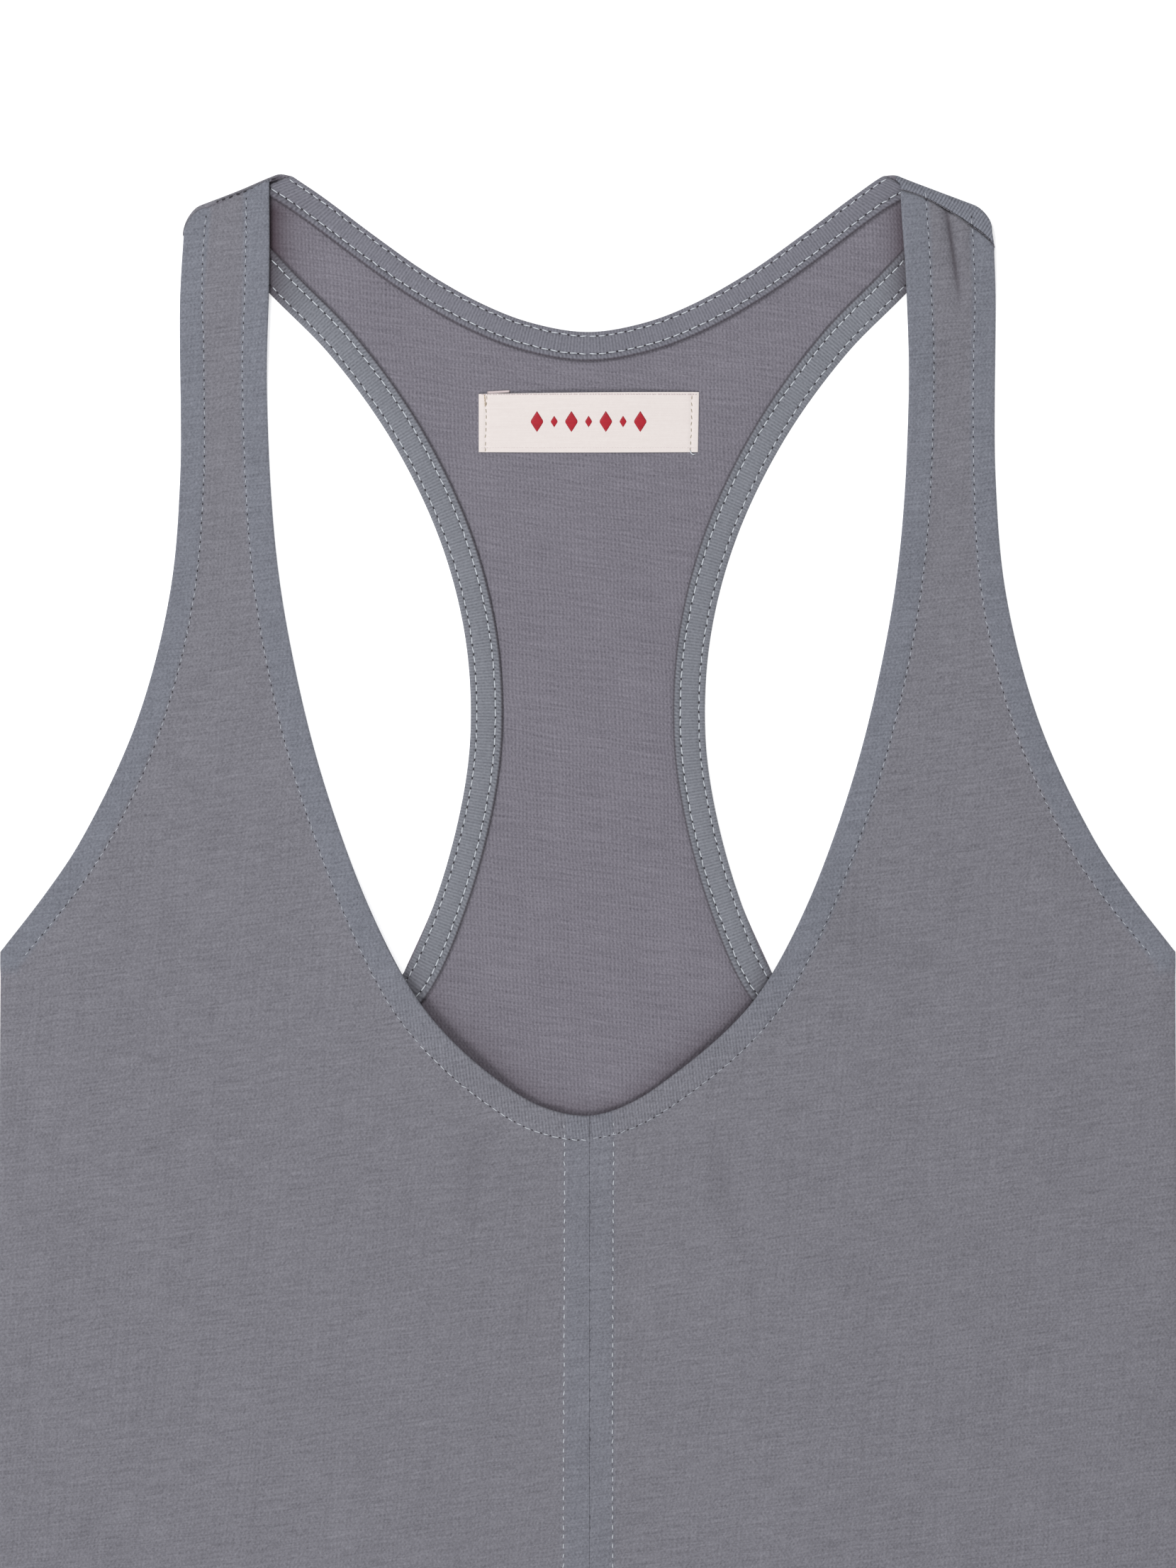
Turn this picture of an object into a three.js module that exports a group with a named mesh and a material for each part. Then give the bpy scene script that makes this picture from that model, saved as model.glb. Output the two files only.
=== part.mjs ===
import * as THREE from 'three';

// A racerback tank top in slub jersey, laid flat with its front up. Millimetres: X runs across, Y from hem
// to neck and Z up from the surface it lies on. The origin is on that surface, under the middle of the top.

const cloth = 1.0; // thickness of every cloth wall
const clearance = 0.3; // between layers that lie on each other, and across a seam
const layer = cloth + clearance; // height that one more layer adds

const hem = { y: -300.32, halfWidth: 188, rise: 4 }; // the hem is a little higher at the side seams
const underarm = { x: 184.2, y: 56.7 };
const sideFlare = 1.3; // power of the side seam's slow widening from underarm to hem

// Half outlines. Each row is a point that the curve passes through, and the left half mirrors the right.
const frontNeckline = [
  { x: 0, y: 5.4 },
  { x: 14.0, y: 8.9 },
  { x: 27.8, y: 17.7 },
  { x: 44.4, y: 32.1 },
  { x: 55.4, y: 45.8 },
  { x: 70.3, y: 75.1 },
  { x: 83.1, y: 110.7 },
  { x: 92.0, y: 146.2 },
  { x: 97.8, y: 181.8 },
  { x: 100.6, y: 230.0 },
  { x: 99.7, y: 270.0 },
];
const frontArmhole = [
  { x: underarm.x, y: underarm.y },
  { x: 170.0, y: 75.1 },
  { x: 158.4, y: 92.9 },
  { x: 141.8, y: 128.4 },
  { x: 131.4, y: 168.0 },
  { x: 128.0, y: 205.0 },
  { x: 127.9, y: 262.0 },
];
const backNeckline = [
  { x: 0, y: 251.1 },
  { x: 17.8, y: 254.0 },
  { x: 33.3, y: 260.0 },
  { x: 51.1, y: 270.1 },
  { x: 66.7, y: 281.1 },
  { x: 84.4, y: 294.3 },
];
const backWaist = { x: 57.8, y: 50.0 }; // where the back's armhole edge goes in under the front
const backArmhole = [
  { x: backWaist.x, y: backWaist.y },
  { x: 47.0, y: 75.1 },
  { x: 39.0, y: 106.0 },
  { x: 36.7, y: 129.0 },
  { x: 38.7, y: 157.0 },
  { x: 46.6, y: 186.5 },
  { x: 61.6, y: 217.3 },
  { x: 80.9, y: 244.0 },
  { x: 98.4, y: 261.8 },
];
const backArmholeHidden = [
  { x: backWaist.x, y: backWaist.y },
  { x: 74.0, y: 35.5 },
  { x: 100.0, y: 30.5 },
  { x: 134.0, y: 36.5 },
  { x: underarm.x, y: underarm.y },
];

// The back's straps fold forward over a line at each shoulder. The arc of the fold starts on this line.
const foldInner = new THREE.Vector2(92.9, 299.7);
const foldOuter = new THREE.Vector2(124.0, 288.0);
const foldRadius = layer; // to the middle of the wall, so the strap comes back two layers higher
const foldSteps = 6;
const strapShare = { inner: 0.22, outer: 1.06 }; // the front strap's edges, as shares of the fold line
const strapDown = { inner: new THREE.Vector2(0, -1), outer: new THREE.Vector2(0.16, -0.987) };
const foldAlong = foldOuter.clone().sub(foldInner).normalize();
const foldNormal = new THREE.Vector2(-foldAlong.y, foldAlong.x);

// How far past the fold each shoulder seam lies on the front, at the strap's inner and outer edge.
const shoulderSeam = {
  left: { inner: 0, outer: 0 },
  right: { inner: 1.6, outer: 7.6 },
};

const neckFacingWidth = 9.1;
const armholeFacingWidth = 10.0;
const facingTurn = 26; // length over which a facing's end turns to follow the shoulder fold
const facingTuck = 12; // length of the armhole facing that lies hidden under the front

const label = { x: 0.25, y: 222.7, width: 69.0, height: 18.6 };

// How the front lies: lifted along the neckline, and on the floor where no back lies under the straps.
const neckLift = { height: 2.0, width: 20, fadeFrom: 50, fadeTo: 110, least: 0.2 };
const drape = { bodyMargin: 15, strapMargin: 8, ramp: 22 };
const facedStrap = { from: 190, to: 215 }; // above this the front lies over the back strap's facings
const tuckReach = { full: 32, end: 57 }; // and so it does this far round an armhole facing's hidden end

// Soft folds in the front, each from one end to the other, with its half width and its height. A fold rises
// over the first share of its length and sinks from the second share on.
const foldEnds = { risen: 0.3, sinking: 0.6 };
const softFolds = [
  { x1: 112, y1: 286, x2: 117, y2: 254, width: 4, height: 0.9 },
  { x1: 30, y1: 8, x2: 37, y2: -42, width: 9, height: 0.9 },
  { x1: 50, y1: 24, x2: 60, y2: -38, width: 10, height: 1.1 },
  { x1: 62, y1: 30, x2: 96, y2: -230, width: 42, height: 1.8 },
  { x1: -56, y1: 20, x2: -92, y2: -240, width: 44, height: 1.8 },
  { x1: 168, y1: 46, x2: 118, y2: -30, width: 15, height: 1.2 },
  { x1: -170, y1: 44, x2: -124, y2: -48, width: 16, height: 1.3 },
  { x1: 150, y1: -130, x2: 108, y2: -286, width: 20, height: 1.1 },
  { x1: -148, y1: -150, x2: -120, y2: -288, width: 20, height: 1.1 },
];

const frontGrid = { hemRows: 7, sideRows: 9, strapRows: 26, columns: 12 };
const frontTurn = { hemCorner: 0.08, underarm: 0.2 }; // shares of the neckline that face those corners
const backGrid = { innerColumns: 6, outerColumns: 9, lowerRows: 6, neckRows: 28 };
const facingSteps = { neck: 26, armhole: 30 };
const edgeSteps = { hidden: 24, seen: 60 }; // of the back's armhole, where distances are taken from it
const rowCrowding = 0.6; // how much closer a long row's points lie beside the neckline
const weldsPerMm = 1000; // points closer than this are one point

const jersey = { color: 0x7b7b83, roughness: 0.92 };
const jerseyInside = { color: 0x7d7b84, roughness: 0.94 };
const bandJersey = { color: 0x7e808a, roughness: 0.9 };
const satin = { color: 0xeae4e0, roughness: 0.45 };

function smooth(value, from, to) {
  return THREE.MathUtils.smoothstep(value, from, to);
}

// A smooth curve through the rows of a table, read by its share of length.
function curveThrough(rows) {
  const points = rows.map((row) => new THREE.Vector3(row.x, row.y, 0));
  return new THREE.CatmullRomCurve3(points, false, 'centripetal');
}

// The right half of a curve that crosses the centre line squarely, read by its share of length.
function halfCurve(rows) {
  const mirrored = rows.slice(1).reverse().map((row) => ({ x: -row.x, y: row.y }));
  const whole = curveThrough([...mirrored, ...rows]);
  return {
    at: (share) => whole.getPointAt(0.5 + share / 2),
    direction: (share) => whole.getTangentAt(0.5 + share / 2),
    length: () => whole.getLength() / 2,
  };
}

function sideX(y) {
  const down = Math.max(0, (underarm.y - y) / (underarm.y - hem.y - hem.rise));
  return underarm.x + (hem.halfWidth - underarm.x) * down ** sideFlare;
}

function hemPoint(x) {
  return new THREE.Vector3(x, hem.y + hem.rise * (x / hem.halfWidth) ** 2, 0);
}

function foldPoint(share) {
  return foldInner.clone().lerp(foldOuter, share);
}

// A point of the strap at a share of its width, some way down from the fold.
function strapPoint(across, drops) {
  const share = THREE.MathUtils.lerp(strapShare.inner, strapShare.outer, across);
  const down = strapDown.inner.clone().lerp(strapDown.outer, across);
  const drop = THREE.MathUtils.lerp(drops.inner, drops.outer, across);
  return foldPoint(share).addScaledVector(down, drop);
}

// Distance from a point to a line of points, positive on the right-hand side of its direction.
function signedDistance(x, y, line) {
  let nearest = Infinity;
  let sign = 1;
  for (let i = 0; i < line.length - 1; i += 1) {
    const a = line[i];
    const along = new THREE.Vector2(line[i + 1].x - a.x, line[i + 1].y - a.y);
    const offset = new THREE.Vector2(x - a.x, y - a.y);
    const share = THREE.MathUtils.clamp(offset.dot(along) / along.lengthSq(), 0, 1);
    const away = offset.clone().addScaledVector(along, -share);
    if (away.length() < nearest) {
      nearest = away.length();
      sign = Math.sign(offset.cross(along)) || 1;
    }
  }
  return sign * nearest;
}

// A closed wall: its middle surface is given as quads, turned anticlockwise seen from its outer side, and
// each point is moved half the thickness both ways along the surface's normal there.
function wallFromQuads(quads, thickness) {
  const keys = new Map();
  const points = [];
  const indexOf = (point) => {
    const key = [point.x, point.y, point.z].map((value) => Math.round(value * weldsPerMm)).join();
    if (!keys.has(key)) {
      keys.set(key, points.length);
      points.push(point.clone());
    }
    return keys.get(key);
  };
  const triangles = [];
  for (const quad of quads) {
    const [a, b, c, d] = quad.map(indexOf);
    for (const triangle of [[a, b, c], [a, c, d]]) {
      if (new Set(triangle).size === 3) triangles.push(triangle);
    }
  }

  const normals = points.map(() => new THREE.Vector3());
  for (const [a, b, c] of triangles) {
    const first = points[b].clone().sub(points[a]);
    const normal = first.cross(points[c].clone().sub(points[a]));
    for (const index of [a, b, c]) normals[index].add(normal);
  }
  const count = points.length;
  const position = [];
  for (const side of [0.5, -0.5]) {
    points.forEach((point, index) => {
      const moved = point.clone().addScaledVector(normals[index].normalize(), side * thickness);
      position.push(moved.x, moved.y, moved.z);
    });
  }

  const edges = new Set();
  for (const [a, b, c] of triangles) {
    for (const [from, to] of [[a, b], [b, c], [c, a]]) edges.add(`${from},${to}`);
  }
  const faces = [];
  for (const [a, b, c] of triangles) {
    faces.push(a, b, c, a + count, c + count, b + count);
    for (const [from, to] of [[a, b], [b, c], [c, a]]) {
      if (!edges.has(`${to},${from}`)) {
        faces.push(to, from, from + count, to, from + count, to + count);
      }
    }
  }
  const geometry = new THREE.BufferGeometry();
  geometry.setAttribute('position', new THREE.Float32BufferAttribute(position, 3));
  geometry.setIndex(faces);
  geometry.computeVertexNormals();
  return geometry;
}

// Quads between neighbouring rows of points. A mirrored half turns each quad over to keep its face up.
function quadsOfRows(rows, side = 1) {
  const quads = [];
  const place = (point) => new THREE.Vector3(side * point.x, point.y, point.z);
  for (let j = 0; j < rows.length - 1; j += 1) {
    for (let i = 0; i < rows[j].length - 1; i += 1) {
      const quad = [rows[j][i], rows[j][i + 1], rows[j + 1][i + 1], rows[j + 1][i]].map(place);
      quads.push(side > 0 ? quad : quad.reverse());
    }
  }
  return quads;
}

function clothMesh(name, quads, look) {
  const material = new THREE.MeshStandardMaterial({ ...look, metalness: 0 });
  const mesh = new THREE.Mesh(wallFromQuads(quads, cloth), material);
  mesh.name = name;
  return mesh;
}

const backNeck = halfCurve([...backNeckline, { x: foldInner.x, y: foldInner.y }]);
const backArm = curveThrough([...backArmhole, { x: foldOuter.x, y: foldOuter.y }]);
const backArmHidden = curveThrough(backArmholeHidden);
const backArmLine = [
  ...backArmHidden.getSpacedPoints(edgeSteps.hidden).reverse(),
  ...backArm.getSpacedPoints(edgeSteps.seen).slice(1),
];

// Height of the front's underside: two layers over a faced edge of the back, one over the bare back and
// none on the floor, with its lifted neckline and its soft folds added.
function frontUnderside(x, y, fromNeck, side) {
  const offBack = signedDistance(x, y, backArmLine);
  const margin = y > neckLift.fadeTo ? drape.strapMargin : drape.bodyMargin;
  const covered = 1 - smooth(offBack, margin, margin + drape.ramp);
  const fromTuck = Math.hypot(x - backWaist.x, y - backWaist.y);
  const overTuck = 1 - smooth(fromTuck, tuckReach.full, tuckReach.end);
  const overFacing = Math.max(smooth(y, facedStrap.from, facedStrap.to), overTuck);
  const fade = 1 - (1 - neckLift.least) * smooth(y, neckLift.fadeFrom, neckLift.fadeTo);
  const lift = neckLift.height * fade * (1 - smooth(fromNeck, 0, neckLift.width));
  return layer * covered * (1 + overFacing) + lift + foldHeight(side * x, y);
}

function foldHeight(x, y) {
  let height = 0;
  for (const fold of softFolds) {
    const along = new THREE.Vector2(fold.x2 - fold.x1, fold.y2 - fold.y1);
    const offset = new THREE.Vector2(x - fold.x1, y - fold.y1);
    const share = offset.dot(along) / along.lengthSq();
    const across = offset.cross(along) / along.length();
    const ends = smooth(share, 0, foldEnds.risen) * (1 - smooth(share, foldEnds.sinking, 1));
    height += fold.height * ends * Math.exp(-((across / fold.width) ** 2));
  }
  return height;
}

// One half of the front. Its rows run from the neckline out to the hem, then the side seam, then the
// armhole, and close together on the strap. The centre edge stands half the seam's clearance away.
function frontQuads(side, seam) {
  const drops = { inner: seam.inner + clearance, outer: seam.outer + clearance };
  const neck = halfCurve([...frontNeckline, strapPoint(0, drops)]);
  const arm = curveThrough([...frontArmhole, strapPoint(1, drops)]);
  const hemCorner = hemPoint(hem.halfWidth);
  const stretches = [
    { rows: frontGrid.hemRows, from: 0, to: frontTurn.hemCorner, outer: (s) => hemPoint(s * hem.halfWidth) },
    {
      rows: frontGrid.sideRows,
      from: frontTurn.hemCorner,
      to: frontTurn.underarm,
      outer: (s) => {
        const y = THREE.MathUtils.lerp(hemCorner.y, underarm.y, s);
        return new THREE.Vector3(sideX(y), y, 0);
      },
    },
    { rows: frontGrid.strapRows, from: frontTurn.underarm, to: 1, outer: (s) => arm.getPointAt(s) },
  ];
  const longest = hemCorner.distanceTo(neck.at(frontTurn.hemCorner));
  const rows = [];
  stretches.forEach((stretch, index) => {
    for (let j = index === 0 ? 0 : 1; j <= stretch.rows; j += 1) {
      const share = j / stretch.rows;
      const start = neck.at(THREE.MathUtils.lerp(stretch.from, stretch.to, share));
      const end = stretch.outer(share);
      const reach = end.distanceTo(start);
      const crowding = 1 + rowCrowding * Math.min(1, reach / longest);
      const row = [];
      for (let i = 0; i <= frontGrid.columns; i += 1) {
        const part = (i / frontGrid.columns) ** crowding;
        const point = start.clone().lerp(end, part);
        point.x = Math.max(point.x, clearance / 2);
        point.z = frontUnderside(point.x, point.y, part * reach, side) + cloth / 2;
        row.push(point);
      }
      rows.push(row);
    }
  });
  return quadsOfRows(rows, side);
}

// One half of the back: a lower block in columns from the hem up to the hidden armhole, then rows across
// the racerback and out along the strap, then the fold over the shoulder.
function backQuads(side, seam) {
  const middle = cloth / 2;
  const columns = backGrid.innerColumns + backGrid.outerColumns;
  const tops = [];
  for (let i = 0; i <= columns; i += 1) {
    const inner = i / backGrid.innerColumns;
    const outer = (i - backGrid.innerColumns) / backGrid.outerColumns;
    tops.push(inner <= 1
      ? new THREE.Vector3(backWaist.x * inner, backWaist.y, 0)
      : backArmHidden.getPointAt(Math.min(1, outer)));
  }
  const lower = [];
  for (let j = 0; j <= backGrid.lowerRows; j += 1) {
    lower.push(tops.map((top) => {
      const foot = hemPoint((top.x / underarm.x) * hem.halfWidth);
      const y = THREE.MathUtils.lerp(foot.y, top.y, j / backGrid.lowerRows);
      return new THREE.Vector3((top.x * sideX(y)) / underarm.x, y, middle);
    }));
  }
  // The lower block's top row ends on the racerback's first row.
  lower[backGrid.lowerRows] = tops.map((top) => new THREE.Vector3(top.x, top.y, middle));

  const centreLength = backNeckline[0].y - backWaist.y;
  const innerLength = centreLength + backNeck.length();
  const upper = [];
  for (let j = 0; j <= backGrid.neckRows; j += 1) {
    const gone = (j / backGrid.neckRows) * innerLength;
    const start = gone <= centreLength
      ? new THREE.Vector3(0, backWaist.y + gone, 0)
      : backNeck.at((gone - centreLength) / backNeck.length());
    upper.push(rowBetween(start, backArm.getPointAt(j / backGrid.neckRows), middle));
  }

  for (let k = 1; k <= foldSteps; k += 1) {
    const turn = k / foldSteps;
    const outward = foldRadius * Math.sin(turn * Math.PI);
    const height = middle + foldRadius * (1 - Math.cos(turn * Math.PI));
    const start = foldPoint(strapShare.inner * turn).addScaledVector(foldNormal, outward);
    const end = foldPoint(1 + (strapShare.outer - 1) * turn).addScaledVector(foldNormal, outward);
    upper.push(rowBetween(start, end, height));
  }
  const wedgeRows = seam.outer > 0 ? 2 : 0;
  for (let k = 1; k <= wedgeRows; k += 1) {
    const drops = { inner: (seam.inner * k) / wedgeRows, outer: (seam.outer * k) / wedgeRows };
    upper.push(rowBetween(strapPoint(0, drops), strapPoint(1, drops), middle + 2 * foldRadius));
  }
  return [...quadsOfRows(lower, side), ...quadsOfRows(upper, side)];
}

function rowBetween(start, end, height) {
  const row = [];
  for (let i = 0; i <= backGrid.innerColumns; i += 1) {
    const share = i / backGrid.innerColumns;
    const x = THREE.MathUtils.lerp(start.x, end.x, share);
    row.push(new THREE.Vector3(x, THREE.MathUtils.lerp(start.y, end.y, share), height));
  }
  return row;
}

// A strip that lies on the back along one of its edges. Its width runs square to the edge, and turns at the
// shoulder to follow the fold.
function facingRows(edge, steps, width, towards, shoulderShare) {
  const rows = [];
  for (let j = 0; j <= steps; j += 1) {
    const { point, direction, fromShoulder } = edge(j / steps);
    const square = new THREE.Vector2(direction.y, -direction.x).multiplyScalar(towards);
    const end = foldAlong.clone().multiplyScalar(shoulderShare);
    const across = end.lerp(square, smooth(fromShoulder, 0, facingTurn)).normalize();
    across.multiplyScalar(width / across.dot(square));
    rows.push([0, 0.5, 1].map((share) => new THREE.Vector3(
      point.x + across.x * share,
      point.y + across.y * share,
      layer + cloth / 2,
    )));
  }
  return rows;
}

function neckFacingRows() {
  return facingRows((share) => ({
    point: backNeck.at(share),
    direction: backNeck.direction(share),
    fromShoulder: (1 - share) * backNeck.length(),
  }), facingSteps.neck, neckFacingWidth, 1, 1);
}

function armholeFacingRows() {
  const length = backArm.getLength();
  const hidden = facingTuck / backArmHidden.getLength();
  const tucked = curveThrough([
    backArmHidden.getPointAt(hidden),
    ...backArmhole,
    { x: foldOuter.x, y: foldOuter.y },
  ]);
  return facingRows((share) => ({
    point: tucked.getPointAt(share),
    direction: tucked.getTangentAt(share),
    fromShoulder: (1 - share) * (length + facingTuck),
  }), facingSteps.armhole, armholeFacingWidth, -1, -1);
}

function labelQuads() {
  const rows = [-0.5, 0, 0.5].map((up) => [-0.5, -0.25, 0, 0.25, 0.5].map((across) => new THREE.Vector3(
    label.x + across * label.width,
    label.y + up * label.height,
    layer + cloth / 2,
  )));
  return quadsOfRows(rows);
}

const neckRows = neckFacingRows();
const armRows = armholeFacingRows();
const garment = new THREE.Group();
garment.add(
  clothMesh('back', [...backQuads(1, shoulderSeam.right), ...backQuads(-1, shoulderSeam.left)], jerseyInside),
  clothMesh('front_right', frontQuads(1, shoulderSeam.right), jersey),
  clothMesh('front_left', frontQuads(-1, shoulderSeam.left), jersey),
  clothMesh('back_neck_facing', [...quadsOfRows(neckRows, 1), ...quadsOfRows(neckRows, -1)], bandJersey),
  clothMesh('back_armhole_facing_right', quadsOfRows(armRows, 1), bandJersey),
  clothMesh('back_armhole_facing_left', quadsOfRows(armRows, -1), bandJersey),
  clothMesh('label', labelQuads(), satin),
);

export default garment;
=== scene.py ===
import math
import bpy
import numpy as np
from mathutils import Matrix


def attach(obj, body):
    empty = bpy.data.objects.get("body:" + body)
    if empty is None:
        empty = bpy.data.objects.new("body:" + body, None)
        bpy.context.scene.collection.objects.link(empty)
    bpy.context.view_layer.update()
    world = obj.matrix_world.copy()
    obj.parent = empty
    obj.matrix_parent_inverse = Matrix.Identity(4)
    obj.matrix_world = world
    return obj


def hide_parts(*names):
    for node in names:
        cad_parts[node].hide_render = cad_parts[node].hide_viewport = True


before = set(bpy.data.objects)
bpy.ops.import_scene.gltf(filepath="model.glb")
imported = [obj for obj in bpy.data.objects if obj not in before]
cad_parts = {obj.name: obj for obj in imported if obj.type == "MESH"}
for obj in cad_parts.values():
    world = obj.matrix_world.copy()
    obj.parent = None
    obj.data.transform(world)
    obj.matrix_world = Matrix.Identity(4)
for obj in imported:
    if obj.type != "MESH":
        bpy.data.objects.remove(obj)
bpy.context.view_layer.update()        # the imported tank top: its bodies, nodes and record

# A racerback tank top in slub jersey, laid flat with its front up and seen from straight above.
# Sizes are millimetres, and makeObject turns them to metres. Each half is worked out on the right, where x
# is positive, and the left half mirrors it with its own shoulder seam and folds.

rng = np.random.default_rng(7)
print("frame loaded")

cut = {
    "hemY": -300.32, "hemHalf": 188.0, "hemRise": 4.0,
    "underarm": (184.2, 56.7), "sideFlare": 1.3,
    "frontNeckline": [(0, 5.4), (14.0, 8.9), (27.8, 17.7), (44.4, 32.1), (55.4, 45.8), (70.3, 75.1),
                      (83.1, 110.7), (92.0, 146.2), (97.8, 181.8), (100.6, 230.0), (99.7, 270.0)],
    "frontArmhole": [(184.2, 56.7), (170.0, 75.1), (158.4, 92.9), (141.8, 128.4), (131.4, 168.0),
                     (128.0, 205.0), (127.9, 262.0)],
    "backNeckline": [(0, 251.1), (17.8, 254.0), (33.3, 260.0), (51.1, 270.1), (66.7, 281.1), (84.4, 294.3)],
    "backWaist": (57.8, 50.0),
    "backArmhole": [(57.8, 50.0), (47.0, 75.1), (39.0, 106.0), (36.7, 129.0), (38.7, 157.0), (46.6, 186.5),
                    (61.6, 217.3), (80.9, 244.0), (98.4, 261.8)],
    "backArmholeHidden": [(57.8, 50.0), (74.0, 35.5), (100.0, 30.5), (134.0, 36.5), (184.2, 56.7)],
    "foldInner": (92.9, 299.7), "foldOuter": (124.0, 288.0), "foldRadius": 1.3,
    "strapShare": (0.22, 1.06), "strapDown": ((0.0, -1.0), (0.16, -0.987)),
    "shoulderSeam": {1: (1.6, 7.6), -1: (-1.3, -0.9)},    # right, left: how far past the fold it lies
    "cornerRound": {1: 4.4, -1: 4.0}, "cornerLong": {1: 1.2, -1: 1.75},   # width, and length over width
}
cloth = {
    "thick": 0.8, "layer": 1.3, "rim": 0.5, "seamHeight": 0.55,
    "bandPuff": 0.32, "bandGroove": 0.24, "grooveWidth": 0.55,
    "rowShares": (0, 0.2, 0.5, 0.72, 0.84, 0.97),         # of an edge's length, for the next four
    "neckRow": {1: (7.2, 7.9, 8.0, 8.2, 8.1, 7.2), -1: (7.6, 8.3, 8.2, 7.9, 7.8, 7.0)},
    "armRow": {1: (6.6, 7.9, 7.8, 6.9, 6.8, 6.3), -1: (6.6, 7.9, 7.8, 7.6, 7.5, 6.0)},
    "centreRow": 7.7, "centreShift": 0.55,
    "hemRows": (15.0, 20.6),
}
drape = {
    "neckLift": {0: 0.35, 1: 0.8, -1: 1.4},               # at its foot, then right and left
    "neckLiftWidth": 20.0, "fadeFrom": 50.0, "fadeTo": 110.0, "least": 0.2,
    "bodyMargin": 15.0, "strapMargin": 8.0, "ramp": 22.0,
    "facedFrom": 190.0, "facedTo": 215.0, "tuckFull": 32.0, "tuckEnd": 57.0,
    "neckSkew": 1.4, "skewReach": 30.0,
}
bow = {"rise": 1.8, "spread": 1.8, "peak": {1: (0.5, 91.5, 5.0), -1: (0.6, 98.5, 8.0)}}
# Painted shade beside the front's neckline: how far it reaches on the right and left, how dark at the neckline's
# foot and at the straps, and how dark along the centre seam in the front's band.
shading = {"reach": {1: 4.4, -1: 6.0}, "foot": 0.44, "strap": {1: 0.72, -1: 0.88}, "centre": 0.16}

# Soft folds and creases of the front: from x, y to x, y, then half width and height. A minus is a trough.
softFolds = np.array([
    (115.5, 290, 120.5, 250, 3.2, 0.5),
    (30, 8, 37, -42, 9, 0.6),
    (50, 24, 60, -38, 10, 0.75),
    (62, 30, 96, -230, 42, 1.8),
    (-56, 20, -92, -240, 44, 1.8),
    (168, 46, 118, -30, 15, 1.2),
    (-170, 44, -124, -48, 16, 1.3),
    (150, -130, 108, -286, 20, 1.1),
    (-148, -150, -120, -288, 20, 1.1),
    (111.4, 297, 117.8, 250, 1.8, -0.75),
    (115.6, 296, 121.6, 250, 2.2, 0.45),
    (14.5, -1, 16, -13, 1.3, -0.25),
    (18.5, 1, 20.5, -14, 1.2, -0.3),
    (22.5, 4, 25.5, -10, 1.3, -0.22),
    (28, 8, 32, -8, 1.6, -0.25),
    (-12, -2, -13, -12, 1.4, -0.2),
    (-33, 12, -38, -4, 1.8, -0.18),
    (40, 6, 46, -34, 4, -0.35),
    (23, 2, 27, -26, 4, -0.3),
    (-24, 6, -30, -30, 6, 0.35),
    (-118, 250, -116, 205, 6, 0.25),
    (118, 230, 114, 180, 6, 0.3),
    (-8, -60, -16, -210, 12, -0.5),
    (10, -90, 22, -240, 14, -0.5),
    (176, -40, 150, -140, 12, 0.8),
    (-178, -60, -160, -150, 12, -0.6),
])

# Painted shade in the soles of creases, in the same form, with how dark they are.
creaseShades = np.array([
    (111.5, 296, 117.2, 256, 0.85, 0.52),
    (112.6, 292, 118.2, 256, 2.6, 0.15),
    (40, 6, 46, -40, 4, 0.07),
    (24, 2, 28, -30, 4, 0.07),
    (-33, 12, -40, -34, 5, 0.08),
])


# Cubic step: 0 up to low, 1 from high, smooth between.
def smooth(value, low, high):
    t = np.clip((value - low) / (high - low), 0, 1)
    return t * t * (3 - 2 * t)


# Quarter ellipse: 0 at an edge, 1 from reach inwards, upright where it starts.
def rounded(distance, reach):
    t = np.clip(distance / reach, 0, 1)
    return np.sqrt(1 - (1 - t) ** 2)


# Centripetal Catmull-Rom: between two rows a cubic whose end slopes weigh the steps beside them by the
# square roots of their lengths. Gives a dense line of points.
def smoothLine(rows, perSpan=16):
    points = np.array(rows, float)
    points = np.vstack([2 * points[0] - points[1], points, 2 * points[-1] - points[-2]])
    before, start, end, after = points[:-3], points[1:-2], points[2:-1], points[3:]
    d0 = np.sqrt(np.linalg.norm(start - before, axis=1))[:, None]
    d1 = np.sqrt(np.linalg.norm(end - start, axis=1))[:, None]
    d2 = np.sqrt(np.linalg.norm(after - end, axis=1))[:, None]
    slopeA = ((start - before) / d0 - (end - before) / (d0 + d1) + (end - start) / d1) * d1
    slopeB = ((end - start) / d1 - (after - start) / (d1 + d2) + (after - end) / d2) * d1
    t = np.linspace(0, 1, perSpan, endpoint=False)[:, None, None]
    line = (2 * t**3 - 3 * t**2 + 1) * start + (t**3 - 2 * t**2 + t) * slopeA
    line = line + (3 * t**2 - 2 * t**3) * end + (t**3 - t**2) * slopeB
    return np.vstack([line.transpose(1, 0, 2).reshape(-1, 2), points[-2]])


# The right half of a line that crosses the centre squarely.
def halfLine(rows, perSpan=16):
    rows = np.array(rows, float)
    whole = smoothLine(np.vstack([rows[:0:-1] * (-1, 1), rows]), perSpan)
    return whole[(len(rows) - 1) * perSpan:]


def walked(line):      # length gone at each point of a line
    return np.concatenate([[0.0], np.cumsum(np.linalg.norm(np.diff(line, axis=0), axis=1))])


# Points at given lengths along a line, with the line's direction there.
def spotsAt(line, lengths):
    gone = walked(line)

    def place(at):
        return np.stack([np.interp(at, gone, line[:, k]) for k in range(line.shape[1])], -1)

    lengths = np.asarray(lengths, float)
    heading = place(np.minimum(lengths + 1.5, gone[-1])) - place(np.maximum(lengths - 1.5, 0))
    return place(lengths), heading / np.linalg.norm(heading, axis=-1, keepdims=True)


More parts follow.
